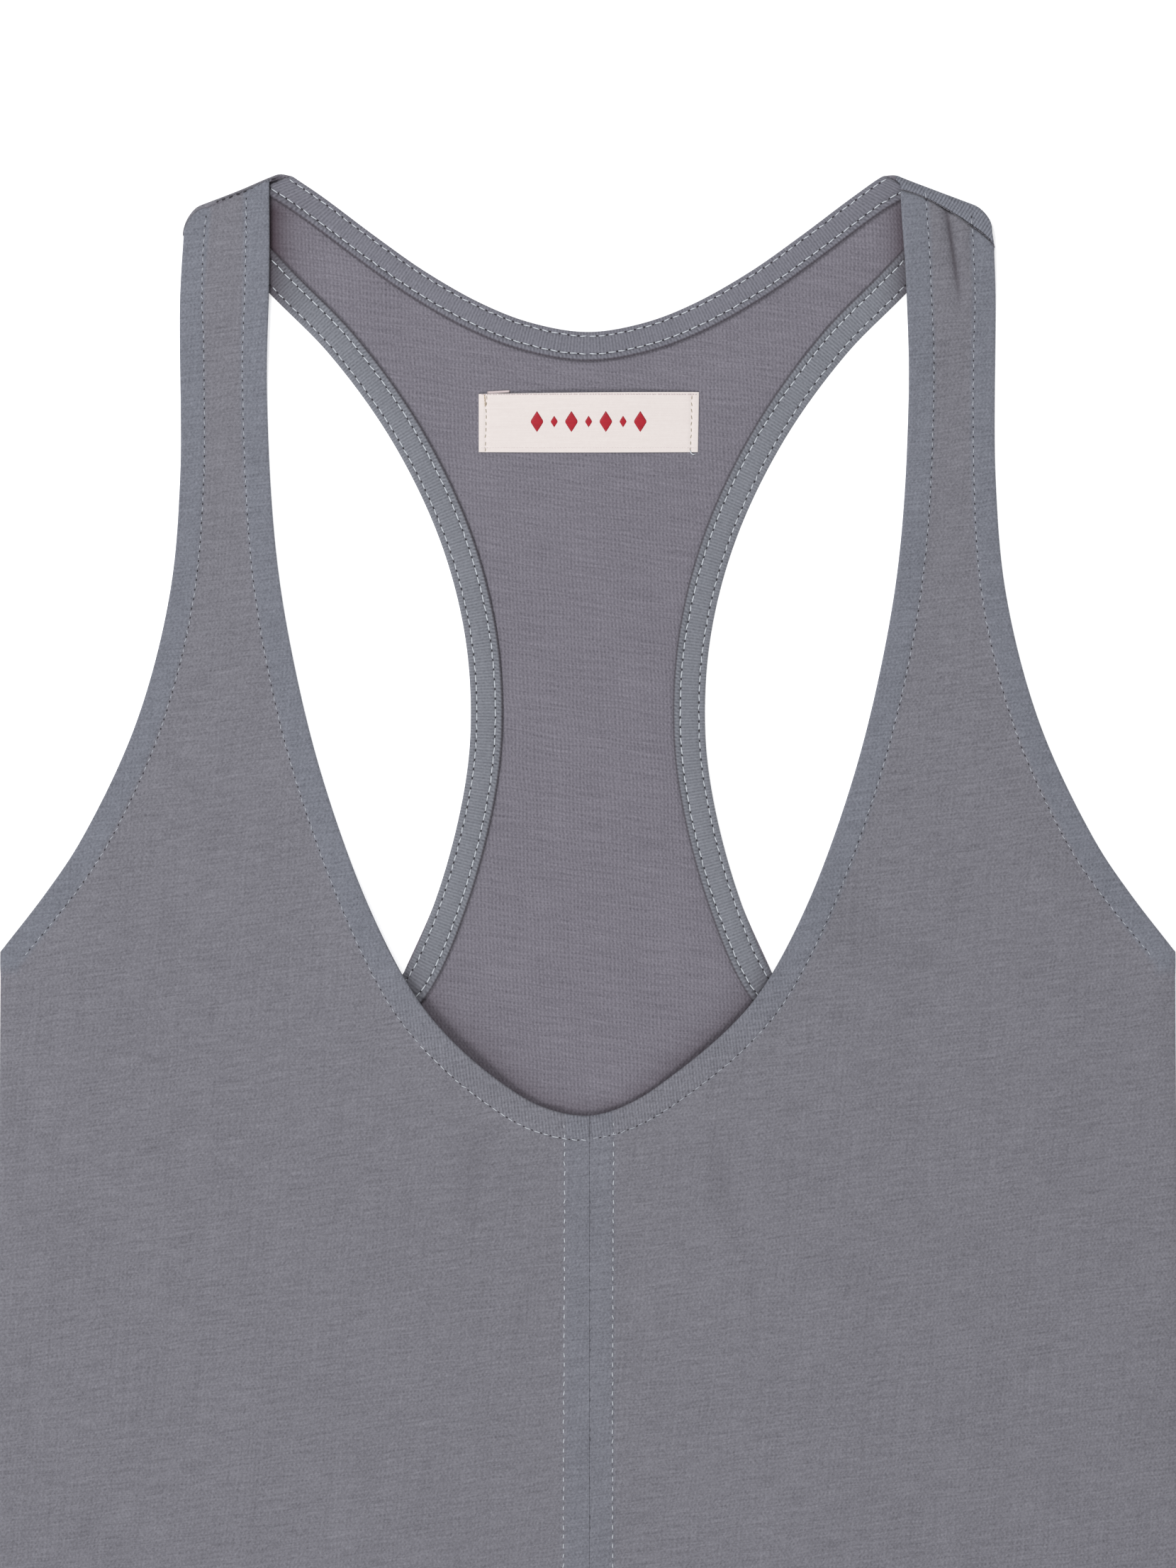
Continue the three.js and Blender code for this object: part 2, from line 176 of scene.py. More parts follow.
# How far points lie from a line, how far along it their nearest spot is, and +1 where they lie on the
# right of its direction: each is held against every step of the line.
def beside(points, line):
    flat = points.reshape(-1, 2)
    step = np.diff(line, axis=0)
    squared = (step**2).sum(1)
    gone = walked(line)
    found = []
    for part in np.array_split(flat, len(flat) // 4000 + 1):
        offset = part[:, None] - line[:-1]
        share = np.clip((offset * step).sum(2) / squared, 0, 1)
        away = np.linalg.norm(offset - share[..., None] * step, axis=2)
        best = away.argmin(1)
        rows = np.arange(len(part))
        picked = offset[rows, best]
        cross = picked[:, 0] * step[best, 1] - picked[:, 1] * step[best, 0]
        along = gone[best] + share[rows, best] * np.sqrt(squared[best])
        found.append(np.stack([away[rows, best], along, np.where(cross < 0, -1.0, 1.0)]))
    return np.concatenate(found, 1).reshape(3, *points.shape[:-1])


def rightOf(heading):
    return np.stack([heading[..., 1], -heading[..., 0]], -1)


foldInner, foldOuter = np.array(cut["foldInner"]), np.array(cut["foldOuter"])
foldAlong = (foldOuter - foldInner) / np.linalg.norm(foldOuter - foldInner)
foldNormal = np.array([-foldAlong[1], foldAlong[0]])
underarm = np.array(cut["underarm"])
waist = np.array(cut["backWaist"])


def hemHeight(x):
    return cut["hemY"] + cut["hemRise"] * (x / cut["hemHalf"]) ** 2


def sideX(y):
    corner = cut["hemY"] + cut["hemRise"]
    down = np.clip((underarm[1] - y) / (underarm[1] - corner), 0, None)
    return underarm[0] + (cut["hemHalf"] - underarm[0]) * down ** cut["sideFlare"]


def foldSpot(share):
    return foldInner + np.asarray(share)[..., None] * (foldOuter - foldInner)


# A spot of the strap at a share of its width, some way down from the fold.
def strapSpot(across, drops):
    inner, outer = cut["strapShare"]
    down = (1 - across) * np.array(cut["strapDown"][0]) + across * np.array(cut["strapDown"][1])
    drop = (1 - across) * drops[0] + across * drops[1]
    return foldSpot(inner + (outer - inner) * across) + down * drop


sideYs = np.linspace(cut["hemY"] + cut["hemRise"], underarm[1], 60)
sideLine = np.stack([sideX(sideYs), sideYs], -1)
backNeck = halfLine([*cut["backNeckline"], cut["foldInner"]])
backArm = smoothLine([*cut["backArmhole"], cut["foldOuter"]])
backArmHidden = smoothLine(cut["backArmholeHidden"])
backArmWhole = np.vstack([backArmHidden[::-1], backArm[1:]])


def frontEdges(side):
    drops = cut["shoulderSeam"][side]
    neck = halfLine([*cut["frontNeckline"], strapSpot(0, drops)])
    arm = smoothLine([*cut["frontArmhole"], strapSpot(1, drops)])
    return neck, arm


frontLines = {side: frontEdges(side) for side in (1, -1)}


# Height of the front's soft folds: each is a bell across its line, rising and sinking along it.
def foldHeight(x, y, folds=softFolds):
    height = np.zeros(x.shape)
    for x1, y1, x2, y2, width, top in folds:
        run = np.array([x2 - x1, y2 - y1])
        share = ((x - x1) * run[0] + (y - y1) * run[1]) / (run @ run)
        across = ((x - x1) * run[1] - (y - y1) * run[0]) / np.sqrt(run @ run)
        height += top * smooth(share, 0, 0.3) * (1 - smooth(share, 0.6, 1)) * np.exp(-((across / width) ** 2))
    return height


# Double cloth beside an edge stands proud up to its stitch row, and the row sinks in.
def bandRelief(distance, row):
    puff = cloth["bandPuff"] * (1 - smooth(distance, row - 0.5, row + 1.2))
    groove = cloth["bandGroove"] * np.exp(-(((distance - row) / cloth["grooveWidth"]) ** 2))
    return puff, groove


def rowAt(row, side, line, along):      # how far a stitch row lies from its edge
    return np.interp(along / walked(line)[-1], cloth["rowShares"], cloth[row][side])


# Painted shade on the back beside the front's neckline, whose raised edge shades it: it dies away on both sides
# of that line.
def neckShade(xy, side):
    line = frontLines[side][0].copy()
    line[:, 1] = skewed(side * line[:, 0], line[:, 1])
    away, y = beside(xy, line)[0], xy[..., 1]
    depth = shading["foot"] + (shading["strap"][side] - shading["foot"]) * smooth(y, 60, 250)
    reach = shading["reach"][side] * (0.55 + 0.45 * smooth(xy[..., 0], 0, 30))
    return depth * (1 - 0.85 * smooth(y, 288, 297)) * np.exp(-((away / reach) ** 1.3))


# The front's middle surface and relief at points of its right-hand form: CAD underside plus half the
# cloth, brought down onto the back at the side seam.
def frontSurface(xy, side):
    x, y = xy[..., 0], xy[..., 1]
    neck, arm = frontLines[side]
    fromNeck, alongNeck, _ = beside(xy, neck)
    fromArm, alongArm, _ = beside(xy, arm)
    fromSide = np.maximum(beside(xy, sideLine)[0], 0)
    fromHem = y - hemHeight(x)
    offBack, _, sign = beside(xy, backArmWhole)
    offBack = offBack * sign
    margin = np.where(y > drape["fadeTo"], drape["strapMargin"], drape["bodyMargin"])
    covered = 1 - smooth(offBack, margin, margin + drape["ramp"])
    overTuck = 1 - smooth(np.hypot(x - waist[0], y - waist[1]), drape["tuckFull"], drape["tuckEnd"])
    overFacing = np.maximum(smooth(y, drape["facedFrom"], drape["facedTo"]), overTuck)
    fade = 1 - (1 - drape["least"]) * smooth(y, drape["fadeFrom"], drape["fadeTo"])
    lift = drape["neckLift"][0] + (drape["neckLift"][side] - drape["neckLift"][0]) * smooth(x, 4, 45)
    lift = lift * fade * (1 - smooth(fromNeck, 0, drape["neckLiftWidth"]))
    middle = cloth["layer"] * covered * (1 + overFacing) + lift + foldHeight(side * x, y)
    middle = np.maximum(middle, 0) + cloth["thick"] / 2
    middle = cloth["seamHeight"] + (middle - cloth["seamHeight"]) * rounded(fromSide, 6.0)
    strapEnd = np.stack([strapSpot(0, cut["shoulderSeam"][side]), strapSpot(1, cut["shoulderSeam"][side])])
    fromEnd = beside(xy, strapEnd)[0]
    rim = np.minimum.reduce([fromNeck, fromArm, fromSide, fromHem, x * 20, fromEnd])
    reliefs = [bandRelief(fromNeck, rowAt("neckRow", side, neck, alongNeck)),
               bandRelief(fromArm, rowAt("armRow", side, arm, alongArm)),
               bandRelief(x, cloth["centreRow"]), bandRelief(fromHem, cloth["hemRows"][1])]
    lowerRow = bandRelief(fromHem, cloth["hemRows"][0])[1]
    puff = np.maximum.reduce([relief[0] for relief in reliefs])
    groove = np.maximum.reduce([relief[1] for relief in reliefs] + [lowerRow])
    seamWave = 0.12 * np.sin(y / 2.6 + 2 * np.sin(y / 17)) * np.exp(-((x / 5) ** 2))
    relief = (puff - groove + seamWave) * rounded(rim, 1.2)
    tinted = 0.25 + 0.75 * smooth(y, 8, 70)
    bandShare = np.maximum((1 - smooth(fromNeck, 7.4, 9.0)) * tinted, 1 - smooth(fromArm, 6.8, 8.4))
    bandShare = np.maximum(bandShare, 0.6 * (1 - smooth(x, 6.5, 9.0)))
    nearNeck = fromNeck < fromArm
    edge = np.stack([np.where(nearNeck, fromNeck, fromArm), np.where(nearNeck, alongNeck, alongArm),
                     bandShare], -1)
    ribbed = (1 - smooth(fromNeck, 7.2, 8.2)) * (1 - smooth(y, 22, 75))
    # Painted shade: dark in the soles of creases, and a thin dark line down the centre seam in the neck band; it
    # rides in rib's third value.
    shade = foldHeight(side * x, y, creaseShades)
    inBand = (1 - smooth(fromNeck, 6.5, 8)) * (1 - smooth(x, 0.1, 0.5))
    shade = np.maximum(shade, shading["centre"] * inBand)
    rib = np.stack([side * x + 0.12 * y, ribbed * 0.55, shade], -1)
    return middle, relief, rim, edge, rib


# Lay of the cloth: a little more of the neckline lies low on the left than on the right.
def skewed(x, y):
    reach = drape["skewReach"]
    push = drape["neckSkew"] * (x / reach) * np.exp(0.5 - (x / reach) ** 2 / 2)
    return y + push * np.exp(-(((y - 22) / 45) ** 2))


# Points of the right-hand form taken to their own side, with the corner rounded and the lay's small moves.
def laidOut(points, side):
    points = cornerRounded(points, side)
    x, y = side * points[..., 0], points[..., 1]
    shift = cloth["centreShift"] * np.exp(-((x / 14) ** 2)) * (1 - smooth(y, 15, 70))
    return np.stack([x + shift, skewed(x, y), points[..., 2]], -1)


# The strap's outer corner at the fold is rounded: the cloth there slides down along the strap's outer edge
# by what an ellipse takes off a square corner, less and less going down.
def cornerRounded(points, side):
    radius, long = cut["cornerRound"][side], cut["cornerLong"][side]
    down = np.array(cut["strapDown"][1])
    offset = points[..., :2] - strapSpot(1, (0, 0))
    fromEdge = -(offset @ rightOf(-down))
    into = np.clip(radius - fromEdge, 0, radius)
    drawn = (radius - np.sqrt(radius**2 - into**2)) * long
    out = (points[..., :2] - foldInner) @ foldNormal
    drawn = drawn * smooth(out, -radius * 2.6 * long, cut["foldRadius"])
    moved = points.copy()
    moved[..., :2] += drawn[..., None] * down
    top, middle, width = bow["peak"][side]      # the shoulder stands up a little beside its peak
    hump = top * np.exp(-(((moved[..., 0] - middle) / width) ** 2))
    moved[..., 1] += hump * smooth(moved[..., 1], 284, 298)
    return seamBowed(moved) if side > 0 else moved


# On the right the shoulder seam bows up towards the neck, and the strap's inner edge spreads at the top.
def seamBowed(points):
    seam = cut["shoulderSeam"][1]
    start, end = strapSpot(0, seam), strapSpot(1, seam)
    run = end - start
    offset = points[..., :2] - start
    across = np.clip(offset @ run / (run @ run), 0, 1)
    above = offset @ rightOf(-run) / np.linalg.norm(run)
    room = 1.0 + seam[0] + (seam[1] - seam[0]) * across
    fade = np.where(above > 0, np.clip(1 - above / room, 0, 1) ** 2, np.exp(-((above / 9) ** 2)))
    moved = points.copy()
    onTop = smooth(points[..., 2], 2.0, 2.6)
    moved[..., 1] += onTop * fade * bow["rise"] * across * (1 - across) ** 2 / 0.148
    spread = smooth(points[..., 1], 258, 296) * (1 - smooth(across, 0.0, 0.8))
    moved[..., 0] -= onTop * bow["spread"] * spread
    return moved


# Places along rays of given reach: fine stops from both ends, stretched where the edge runs askew, and a
# few wide steps between, closer together near the start.
def rayPlaces(reach, startStops, endStops, middleCount, crowding=1.25):
    room = 0.44 * reach[:, None]
    first = startStops * np.minimum(1, room / startStops[:, -1:])
    last = endStops * np.minimum(1, room / endStops[:, -1:])
    share = np.linspace(0, 1, middleCount + 2)[1:-1] ** crowding
    gap = reach[:, None] - last[:, -1:] - first[:, -1:]
    return np.concatenate([first, first[:, -1:] + gap * share, reach[:, None] - last[:, ::-1]], 1)


bandStops = np.array([0, 0.1, 0.25, 0.5, 0.9, 1.5, 2.4, 3.6, 5, 6.2, 7.0, 7.4, 7.75, 8.1, 8.45, 8.8, 9.3, 10])
hemStops = np.array([0, 0.1, 0.25, 0.5, 0.9, 2, 4.5, 8, 12, 14.2, 14.7, 15.1, 15.6, 17.8, 20, 20.6, 21.2, 23])
placketStops = np.array([0, 0.02, 0.06, 0.3, 0.8, 1.6, 3.2, 5.2, 6.8, 7.3, 7.6, 7.9, 8.3, 9.0, 10.5, 13])
rimStops = np.array([0, 0.08, 0.2, 0.4, 0.7, 1.2])


# Front half: rays run from the neckline out to the hem, the side seam and the armhole in turn.
def frontGrid(side):
    counts, turns = (56, 90, 190), (0.0, 0.08, 0.2, 1.0)
    neck, arm = frontLines[side]
    neckLength = walked(neck)[-1]
    placketShares = placketStops / neckLength
    shares = np.concatenate([placketShares[:-1], np.linspace(placketShares[-1], turns[1], counts[0], False),
                             np.linspace(turns[1], turns[2], counts[1], False),
                             np.linspace(turns[2], turns[3], counts[2])])
    start, neckHeading = spotsAt(neck, shares * neckLength)
    hemX = np.linspace(placketStops[-1], cut["hemHalf"], counts[0], False)
    hemX = np.concatenate([placketStops[:-1], hemX])
    hemX = np.pad(hemX, (0, counts[1] + counts[2]), constant_values=cut["hemHalf"])
    sideShare = np.clip((shares - turns[1]) / (turns[2] - turns[1]), 0, 1)
    sideY = sideLine[0, 1] + (underarm[1] - sideLine[0, 1]) * sideShare
    armSpots, armHeading = spotsAt(arm, (shares - turns[2]).clip(0) / (1 - turns[2]) * walked(arm)[-1])
    onHem, onSide = (shares < turns[1])[:, None], (shares < turns[2])[:, None]
    end = np.where(onHem, np.stack([hemX, hemHeight(hemX)], -1),
                   np.where(onSide, np.stack([sideX(sideY), sideY], -1), armSpots))
    endHeading = np.where(onHem, (1.0, 0.0), np.where(onSide, (0.0, 1.0), armHeading))
    ray = end - start
    reach = np.linalg.norm(ray, axis=1)
    ray = ray / reach[:, None]

    def askew(heading):
        return 1 / np.clip(np.abs((ray * rightOf(heading)).sum(1)), 0.42, 1)

    hemward = (1 - smooth(shares, turns[1], turns[1] + 0.03))[:, None]
    endStops = (hemStops * hemward + bandStops * (1 - hemward)) * askew(endHeading)[:, None]
    places = rayPlaces(reach, bandStops * askew(neckHeading)[:, None], endStops, 46)
    grid = start[:, None] + places[..., None] * ray[:, None]
    grid[..., 0] = np.maximum(grid[..., 0], 0)
    return grid


# Corner numbers of the quads of a grid of points.
def gridQuads(rows, columns, first=0):
    at = first + np.arange(rows * columns).reshape(rows, columns)
    return np.stack([at[:-1, :-1], at[:-1, 1:], at[1:, 1:], at[1:, :-1]], -1).reshape(-1, 4)


# A closed cloth: its middle surface moved half a thickness both ways along its normals, with relief on
# the outer side. Both sides share the points of the open edges.
def clothShell(middle, quads, half, relief):
    a, b, c, d = (middle[quads[:, k]] for k in range(4))
    facing = np.cross(c - a, d - b)
    normals = np.zeros(middle.shape)
    for k in range(4):
        np.add.at(normals, quads[:, k], facing)
    normals /= np.linalg.norm(normals, axis=1, keepdims=True).clip(1e-9)
    pairs = np.sort(np.stack([quads, np.roll(quads, -1, 1)], -1).reshape(-1, 2), 1)
    edges, uses = np.unique(pairs, axis=0, return_counts=True)
    open_ = np.zeros(len(middle), bool)
    open_[edges[uses == 1].ravel()] = True
    half = np.where(open_, 0, half)[:, None]
    relief = np.where(open_, 0, relief)[:, None]
    under = np.where(open_, np.arange(len(middle)), len(middle) + np.cumsum(~open_) - 1)
    points = np.vstack([middle + normals * (half + relief), (middle - normals * half)[~open_]])
    faces = np.vstack([quads, under[quads[:, ::-1]]])
    return points, faces, np.concatenate([np.arange(len(middle)), np.flatnonzero(~open_)])


# Points that fall together become one, so that neighbouring grids close up.
def welded(points, quads):
    _, first, inverse = np.unique(np.round(points * 500), axis=0, return_index=True, return_inverse=True)
    return first, inverse.ravel()[quads]


def makeObject(name, points, faces, materials, faceMaterial=None, extras=None):
    mesh = bpy.data.meshes.new(name)
    mesh.from_pydata((points * 0.001).tolist(), [], faces.tolist())
    mesh.polygons.foreach_set("use_smooth", np.ones(len(faces), bool))
    for material in materials:
        mesh.materials.append(material)
    if faceMaterial is not None:
        mesh.polygons.foreach_set("material_index", faceMaterial.astype(np.int32))
    for key, values in (extras or {}).items():
        attribute = mesh.attributes.new(key, "FLOAT_VECTOR", "POINT")
        attribute.data.foreach_set("vector", values.astype(np.float32).ravel())
    mesh.validate()
    made = bpy.data.objects.new(name, mesh)
    bpy.context.scene.collection.objects.link(made)
    return made


def shellObject(name, middle, quads, half, relief, materials, extras=None):
    points, faces, source = clothShell(middle, quads, half, relief)
    faceMaterial = np.repeat([0, 1], len(quads))
    extras = {key: values[source] for key, values in (extras or {}).items()}
    if "rib" in extras:
        extras["rib"][len(middle):, 2] = 0      # shade lies on the upper side alone
    return makeObject(name, points, faces, materials, faceMaterial, extras)


def flatArea(points, faces):      # square metres of one side of a shell
    a, b, c, d = (points[faces[:, k]] for k in range(4))
    return float(np.linalg.norm(np.cross(c - a, d - b), axis=1).sum() / 2e6)


# Materials

# sRGB hex to linear light.
def linear(hexText):
    channels = [int(hexText[k:k + 2], 16) / 255 for k in (1, 3, 5)]
    return (*[c / 12.92 if c <= 0.04045 else ((c + 0.055) / 1.055) ** 2.4 for c in channels], 1.0)


# Adds a node with its options. Its inputs take values or links, in order, by name or by _number. Gives one
# of its outputs, or all of them where out is None.
def addNode(tree, kind, options=None, *values, out=0, **inputs):
    node = tree.nodes.new("ShaderNode" + kind)
    for key, value in (options or {}).items():
        setattr(node, key, value)
    inputs.update({f"_{number}": value for number, value in enumerate(values)})
    for key, value in inputs.items():
        socket = node.inputs[int(key[1:])] if key[1:].isdigit() else node.inputs[key.replace("_", " ")]
        if isinstance(value, bpy.types.NodeSocket):
            tree.links.new(value, socket)
        else:
            socket.default_value = value
    return node.outputs if out is None else node.outputs[out]


multiply, multiplyAdd, sine = {"operation": "MULTIPLY"}, {"operation": "MULTIPLY_ADD"}, {"operation": "SINE"}
colourMix, smoothStep = {"data_type": "RGBA"}, {"interpolation_type": "SMOOTHSTEP"}


def startMaterial(name, roughness, **settings):
    material = bpy.data.materials.new(name)
    material.use_nodes = True
    shader = material.node_tree.nodes["Principled BSDF"]
    shader.inputs["Roughness"].default_value = roughness
    for key, value in settings.items():
        shader.inputs[key.replace("_", " ")].default_value = value
    return material, material.node_tree, shader


# Gives a shader its colour and its bump.
def finishShader(tree, shader, colour, height, strength, distance):
    bump = addNode(tree, "Bump", Height=height, Strength=strength, Distance=distance)
    tree.links.new(colour, shader.inputs["Base Color"])
    tree.links.new(bump, shader.inputs["Normal"])


# Single jersey, knitted from uneven slub yarn: matte, a soft fuzz, rows of tiny loops. The wales and
# courses are 0.78 and 0.60 mm apart, drawn 1.5 times as coarse so that they show.
knit = {"wale": 1.17, "course": 0.9, "lean": 0.09, "rise": 0.13}


# Tone and height of a knit read from an attribute in mm: loops are the product of two cosines, which is
# dark where both are high, with noise drawn out along the courses for slubs and along the wales for lines.
def knitPattern(tree, look, coordinate):
    wander = addNode(tree, "TexNoise", out="Color", Vector=coordinate, Scale=0.07, Detail=1.0)
    wander = addNode(tree, "VectorMath", multiplyAdd, wander, (1.6, 1.6, 0), coordinate)
    x, y, _ = addNode(tree, "SeparateXYZ", out=None, Vector=wander)
    u = addNode(tree, "Math", multiplyAdd, y, -look["lean"], x)
    v = addNode(tree, "Math", multiplyAdd, x, -look["rise"], y)
    waveU = addNode(tree, "Math", multiply, u, 2 * math.pi / look["wale"])
    waveU = addNode(tree, "Math", {"operation": "COSINE"}, waveU)
    waveV = addNode(tree, "Math", multiply, v, math.pi / look["course"])
    waveV = addNode(tree, "Math", {"operation": "COSINE"}, waveV)
    loops = addNode(tree, "Math", multiply, waveU, waveV)
    dots = addNode(tree, "Math", {"operation": "SMOOTH_MIN"}, loops, 0.75, 0.3)
    drawn = addNode(tree, "CombineXYZ", X=u, Y=v, Z=look["seed"])
    slub = addNode(tree, "VectorMath", multiply, drawn, (look["slubShare"], 1.5, 1))
    slub = addNode(tree, "TexNoise", Vector=slub, Scale=1.0, Detail=2.0, Roughness=0.6)
    line = addNode(tree, "VectorMath", multiply, drawn, (1.1, 0.025, 1))
    line = addNode(tree, "TexNoise", Vector=line, Scale=1.0, Detail=2.0, Roughness=0.6)
    cloud = addNode(tree, "TexNoise", Vector=drawn, Scale=0.05, Detail=2.0)
    grain = addNode(tree, "TexNoise", Vector=drawn, Scale=1.2, Detail=3.0, Roughness=0.95)
    tone = addNode(tree, "Math", multiplyAdd, dots, -look["loops"], 0.5)
    tone = addNode(tree, "Math", multiplyAdd, waveU, look["wales"], tone)
    for source, key in ((slub, "slub"), (line, "lines"), (cloud, "cloud"), (grain, "grain")):
        centred = addNode(tree, "Math", multiplyAdd, source, look[key], -look[key] / 2)
        tone = addNode(tree, "Math", {"operation": "ADD"}, tone, centred)
    fuzz = addNode(tree, "Math", multiply, grain, 0.6)
    height = addNode(tree, "Math", multiplyAdd, dots, -0.5, fuzz)
    return tone, height


def finishCloth(tree, shader, look, tone, height, tint, shade):
    keys = ("dark", "bandDark", "light", "bandLight", "shade")
    dark, bandDark, light, bandLight, paintedShade = (linear(look[key]) for key in keys)
    dark = addNode(tree, "Mix", colourMix, out=2, _0=tint, _6=dark, _7=bandDark)
    light = addNode(tree, "Mix", colourMix, out=2, _0=tint, _6=light, _7=bandLight)
    colour = addNode(tree, "Mix", colourMix, out=2, _0=tone, _6=dark, _7=light)
    # painted shade: the shade value mixes the colour towards the look's shade colour
    colour = addNode(tree, "Mix", colourMix, out=2, _0=shade, _6=colour, _7=paintedShade)
    finishShader(tree, shader, colour, height, look["bump"], 0.0003)


# Jersey reads its knit, its edges, and its ribs and painted shade from attributes of the cloth. The facings also
# have a twisted roll along their inner edge, with painted shade at its foot.
def jersey(name, look):
    material, tree, shader = startMaterial(name, 0.93, Sheen_Weight=0.08, Sheen_Roughness=0.6,
                                           Specular_IOR_Level=0.2)
    knitAt, edge, rib = (addNode(tree, "Attribute", {"attribute_name": key}, out="Vector")
                         for key in ("knit", "edge", "rib"))
    tone, height = knitPattern(tree, look, knitAt)
    distance, _, band = addNode(tree, "SeparateXYZ", out=None, Vector=edge)
    ribAt, ribStrength, shade = addNode(tree, "SeparateXYZ", out=None, Vector=rib)
    ribs = addNode(tree, "Math", multiply, ribAt, 2 * math.pi / look["ribPitch"])
    ribs = addNode(tree, "Math", multiply, addNode(tree, "Math", sine, ribs), ribStrength)
    tone = addNode(tree, "Math", multiplyAdd, ribs, look["ribs"], tone)
    height = addNode(tree, "Math", multiplyAdd, ribs, 0.5, height)
    if look["roll"]:
        onRoll = addNode(tree, "MapRange", smoothStep, Value=distance,
                         From_Min=look["roll"] - 0.5, From_Max=look["roll"])
        rope = addNode(tree, "Math", multiplyAdd, distance, -0.7, ribAt)
        rope = addNode(tree, "Math", multiply, rope, 2 * math.pi / 1.35)
        rope = addNode(tree, "Math", multiply, addNode(tree, "Math", sine, rope), onRoll)
        tone = addNode(tree, "Math", multiplyAdd, rope, 0.13, tone)
        tone = addNode(tree, "Math", multiplyAdd, onRoll, -0.04, tone)
        height = addNode(tree, "Math", multiplyAdd, rope, 0.6, height)
        # painted shade along the foot of the roll
        paintedShade = addNode(tree, "MapRange", smoothStep, Value=distance,
                       From_Min=look["inner"] - 0.75, From_Max=look["inner"] - 0.35)
        paintedShade = addNode(tree, "Math", multiply, paintedShade, 0.6)
        shade = addNode(tree, "Math", {"operation": "MAXIMUM"}, shade, paintedShade)
    finishCloth(tree, shader, look, tone, height, band, shade)
    return material


# A look's shade is the colour of painted shade.
faceLook = {**knit, "seed": 1.0, "wales": 0.03, "loops": 0.06, "slubShare": 0.085, "slub": 0.6,
            "lines": 0.22, "cloud": 0.12, "grain": 1.35, "dark": "#58575e", "light": "#97969f",
            "bandDark": "#565861", "bandLight": "#9598a3", "shade": "#332b32",
            "bump": 0.3, "ribs": 0.24, "ribPitch": 0.98, "roll": 0}
reverseLook = {**faceLook, "seed": 5.0, "lean": -0.04, "rise": -0.135, "wales": 0.095, "loops": 0.07,
               "slubShare": 0.065, "slub": 0.62, "lines": 0.16, "dark": "#57545d", "light": "#98949f",
               "shade": "#3f2e37", "bump": 0.42}
facingLook = {**faceLook, "seed": 9.0, "lean": 0.0, "rise": 0.0, "loops": 0.05, "ribs": 0.13,
              "ribPitch": 0.93, "slub": 0.2, "grain": 0.9, "bandDark": "#595b63", "bandLight": "#9c9fa8",
              "shade": "#3a2b34"}
jerseyFace = jersey("slub jersey, knit side", faceLook)
jerseyReverse = jersey("slub jersey, purl side", reverseLook)
neckFacingJersey = jersey("jersey strip of the neck facing", {**facingLook, "roll": 7.4, "inner": 9.1,
                                                           "bandDark": "#55555e", "bandLight": "#9696a1"})
armFacingJersey = jersey("jersey strip of the armhole facings", {**facingLook, "roll": 8.2, "inner": 10.0})


# Spun polyester sewing thread, two plies twisted: light grey, a little gloss along its twist.
def thread(name, hexText, gloss=0.5):
    material, tree, shader = startMaterial(name, gloss, Sheen_Weight=0.1)
    place = addNode(tree, "TexCoord", out="Object")
    fuzz = addNode(tree, "TexNoise", Vector=place, Scale=2600.0, Detail=2.0)
    base = linear(hexText)[:3]
    dark, light = ((*[min(1, channel * share) for channel in base], 1.0) for share in (0.7, 1.3))
    colour = addNode(tree, "Mix", colourMix, out=2, _0=fuzz, _6=dark, _7=light)
    finishShader(tree, shader, colour, fuzz, 0.3, 0.0001)
    return material


paleThread = thread("spun polyester thread, pale grey", "#d3d8de")
greyThread = thread("spun polyester thread, mid grey", "#b4b8c0")
# Dark marks of the seams, and painted shade in the needle holes.
darkMarksAndHoleShade = thread("dark seam marks, and painted shade in needle holes", "#322f36", 0.9)
seamThread = thread("overlock thread, dark grey", "#6b6971", 0.8)
tanThread = thread("cotton thread, tan", "#bca98f", 0.8)
dullThread = thread("spun polyester thread, dull khaki", "#a69a88", 0.8)
print("materials made")

# Front

def knitCoordinate(x, y):
    return np.stack([x, y, np.zeros(x.shape)], -1)


def buildFront(side):
    grid = frontGrid(side)
    middle, relief, rim, edge, rib = frontSurface(grid, side)
    half = cloth["thick"] / 2 * rounded(rim, cloth["rim"])
    points = laidOut(np.dstack([grid, middle]), side)
    rows, columns = grid.shape[:2]
    quads = gridQuads(rows, columns)
    quads = quads if side > 0 else quads[:, ::-1]
    extras = {"knit": knitCoordinate(points[..., 0], points[..., 1]).reshape(-1, 3),
              "edge": edge.reshape(-1, 3), "rib": rib.reshape(-1, 3)}
    name = "frontRightCloth" if side > 0 else "frontLeftCloth"
    made = shellObject(name, points.reshape(-1, 3), quads, half.ravel(), relief.ravel(),
                       [jerseyFace, jerseyReverse], extras)
    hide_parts("front_right" if side > 0 else "front_left")
    return made, flatArea(points.reshape(-1, 3), quads)


fronts = {side: buildFront(side) for side in (1, -1)}
print("front halves made")


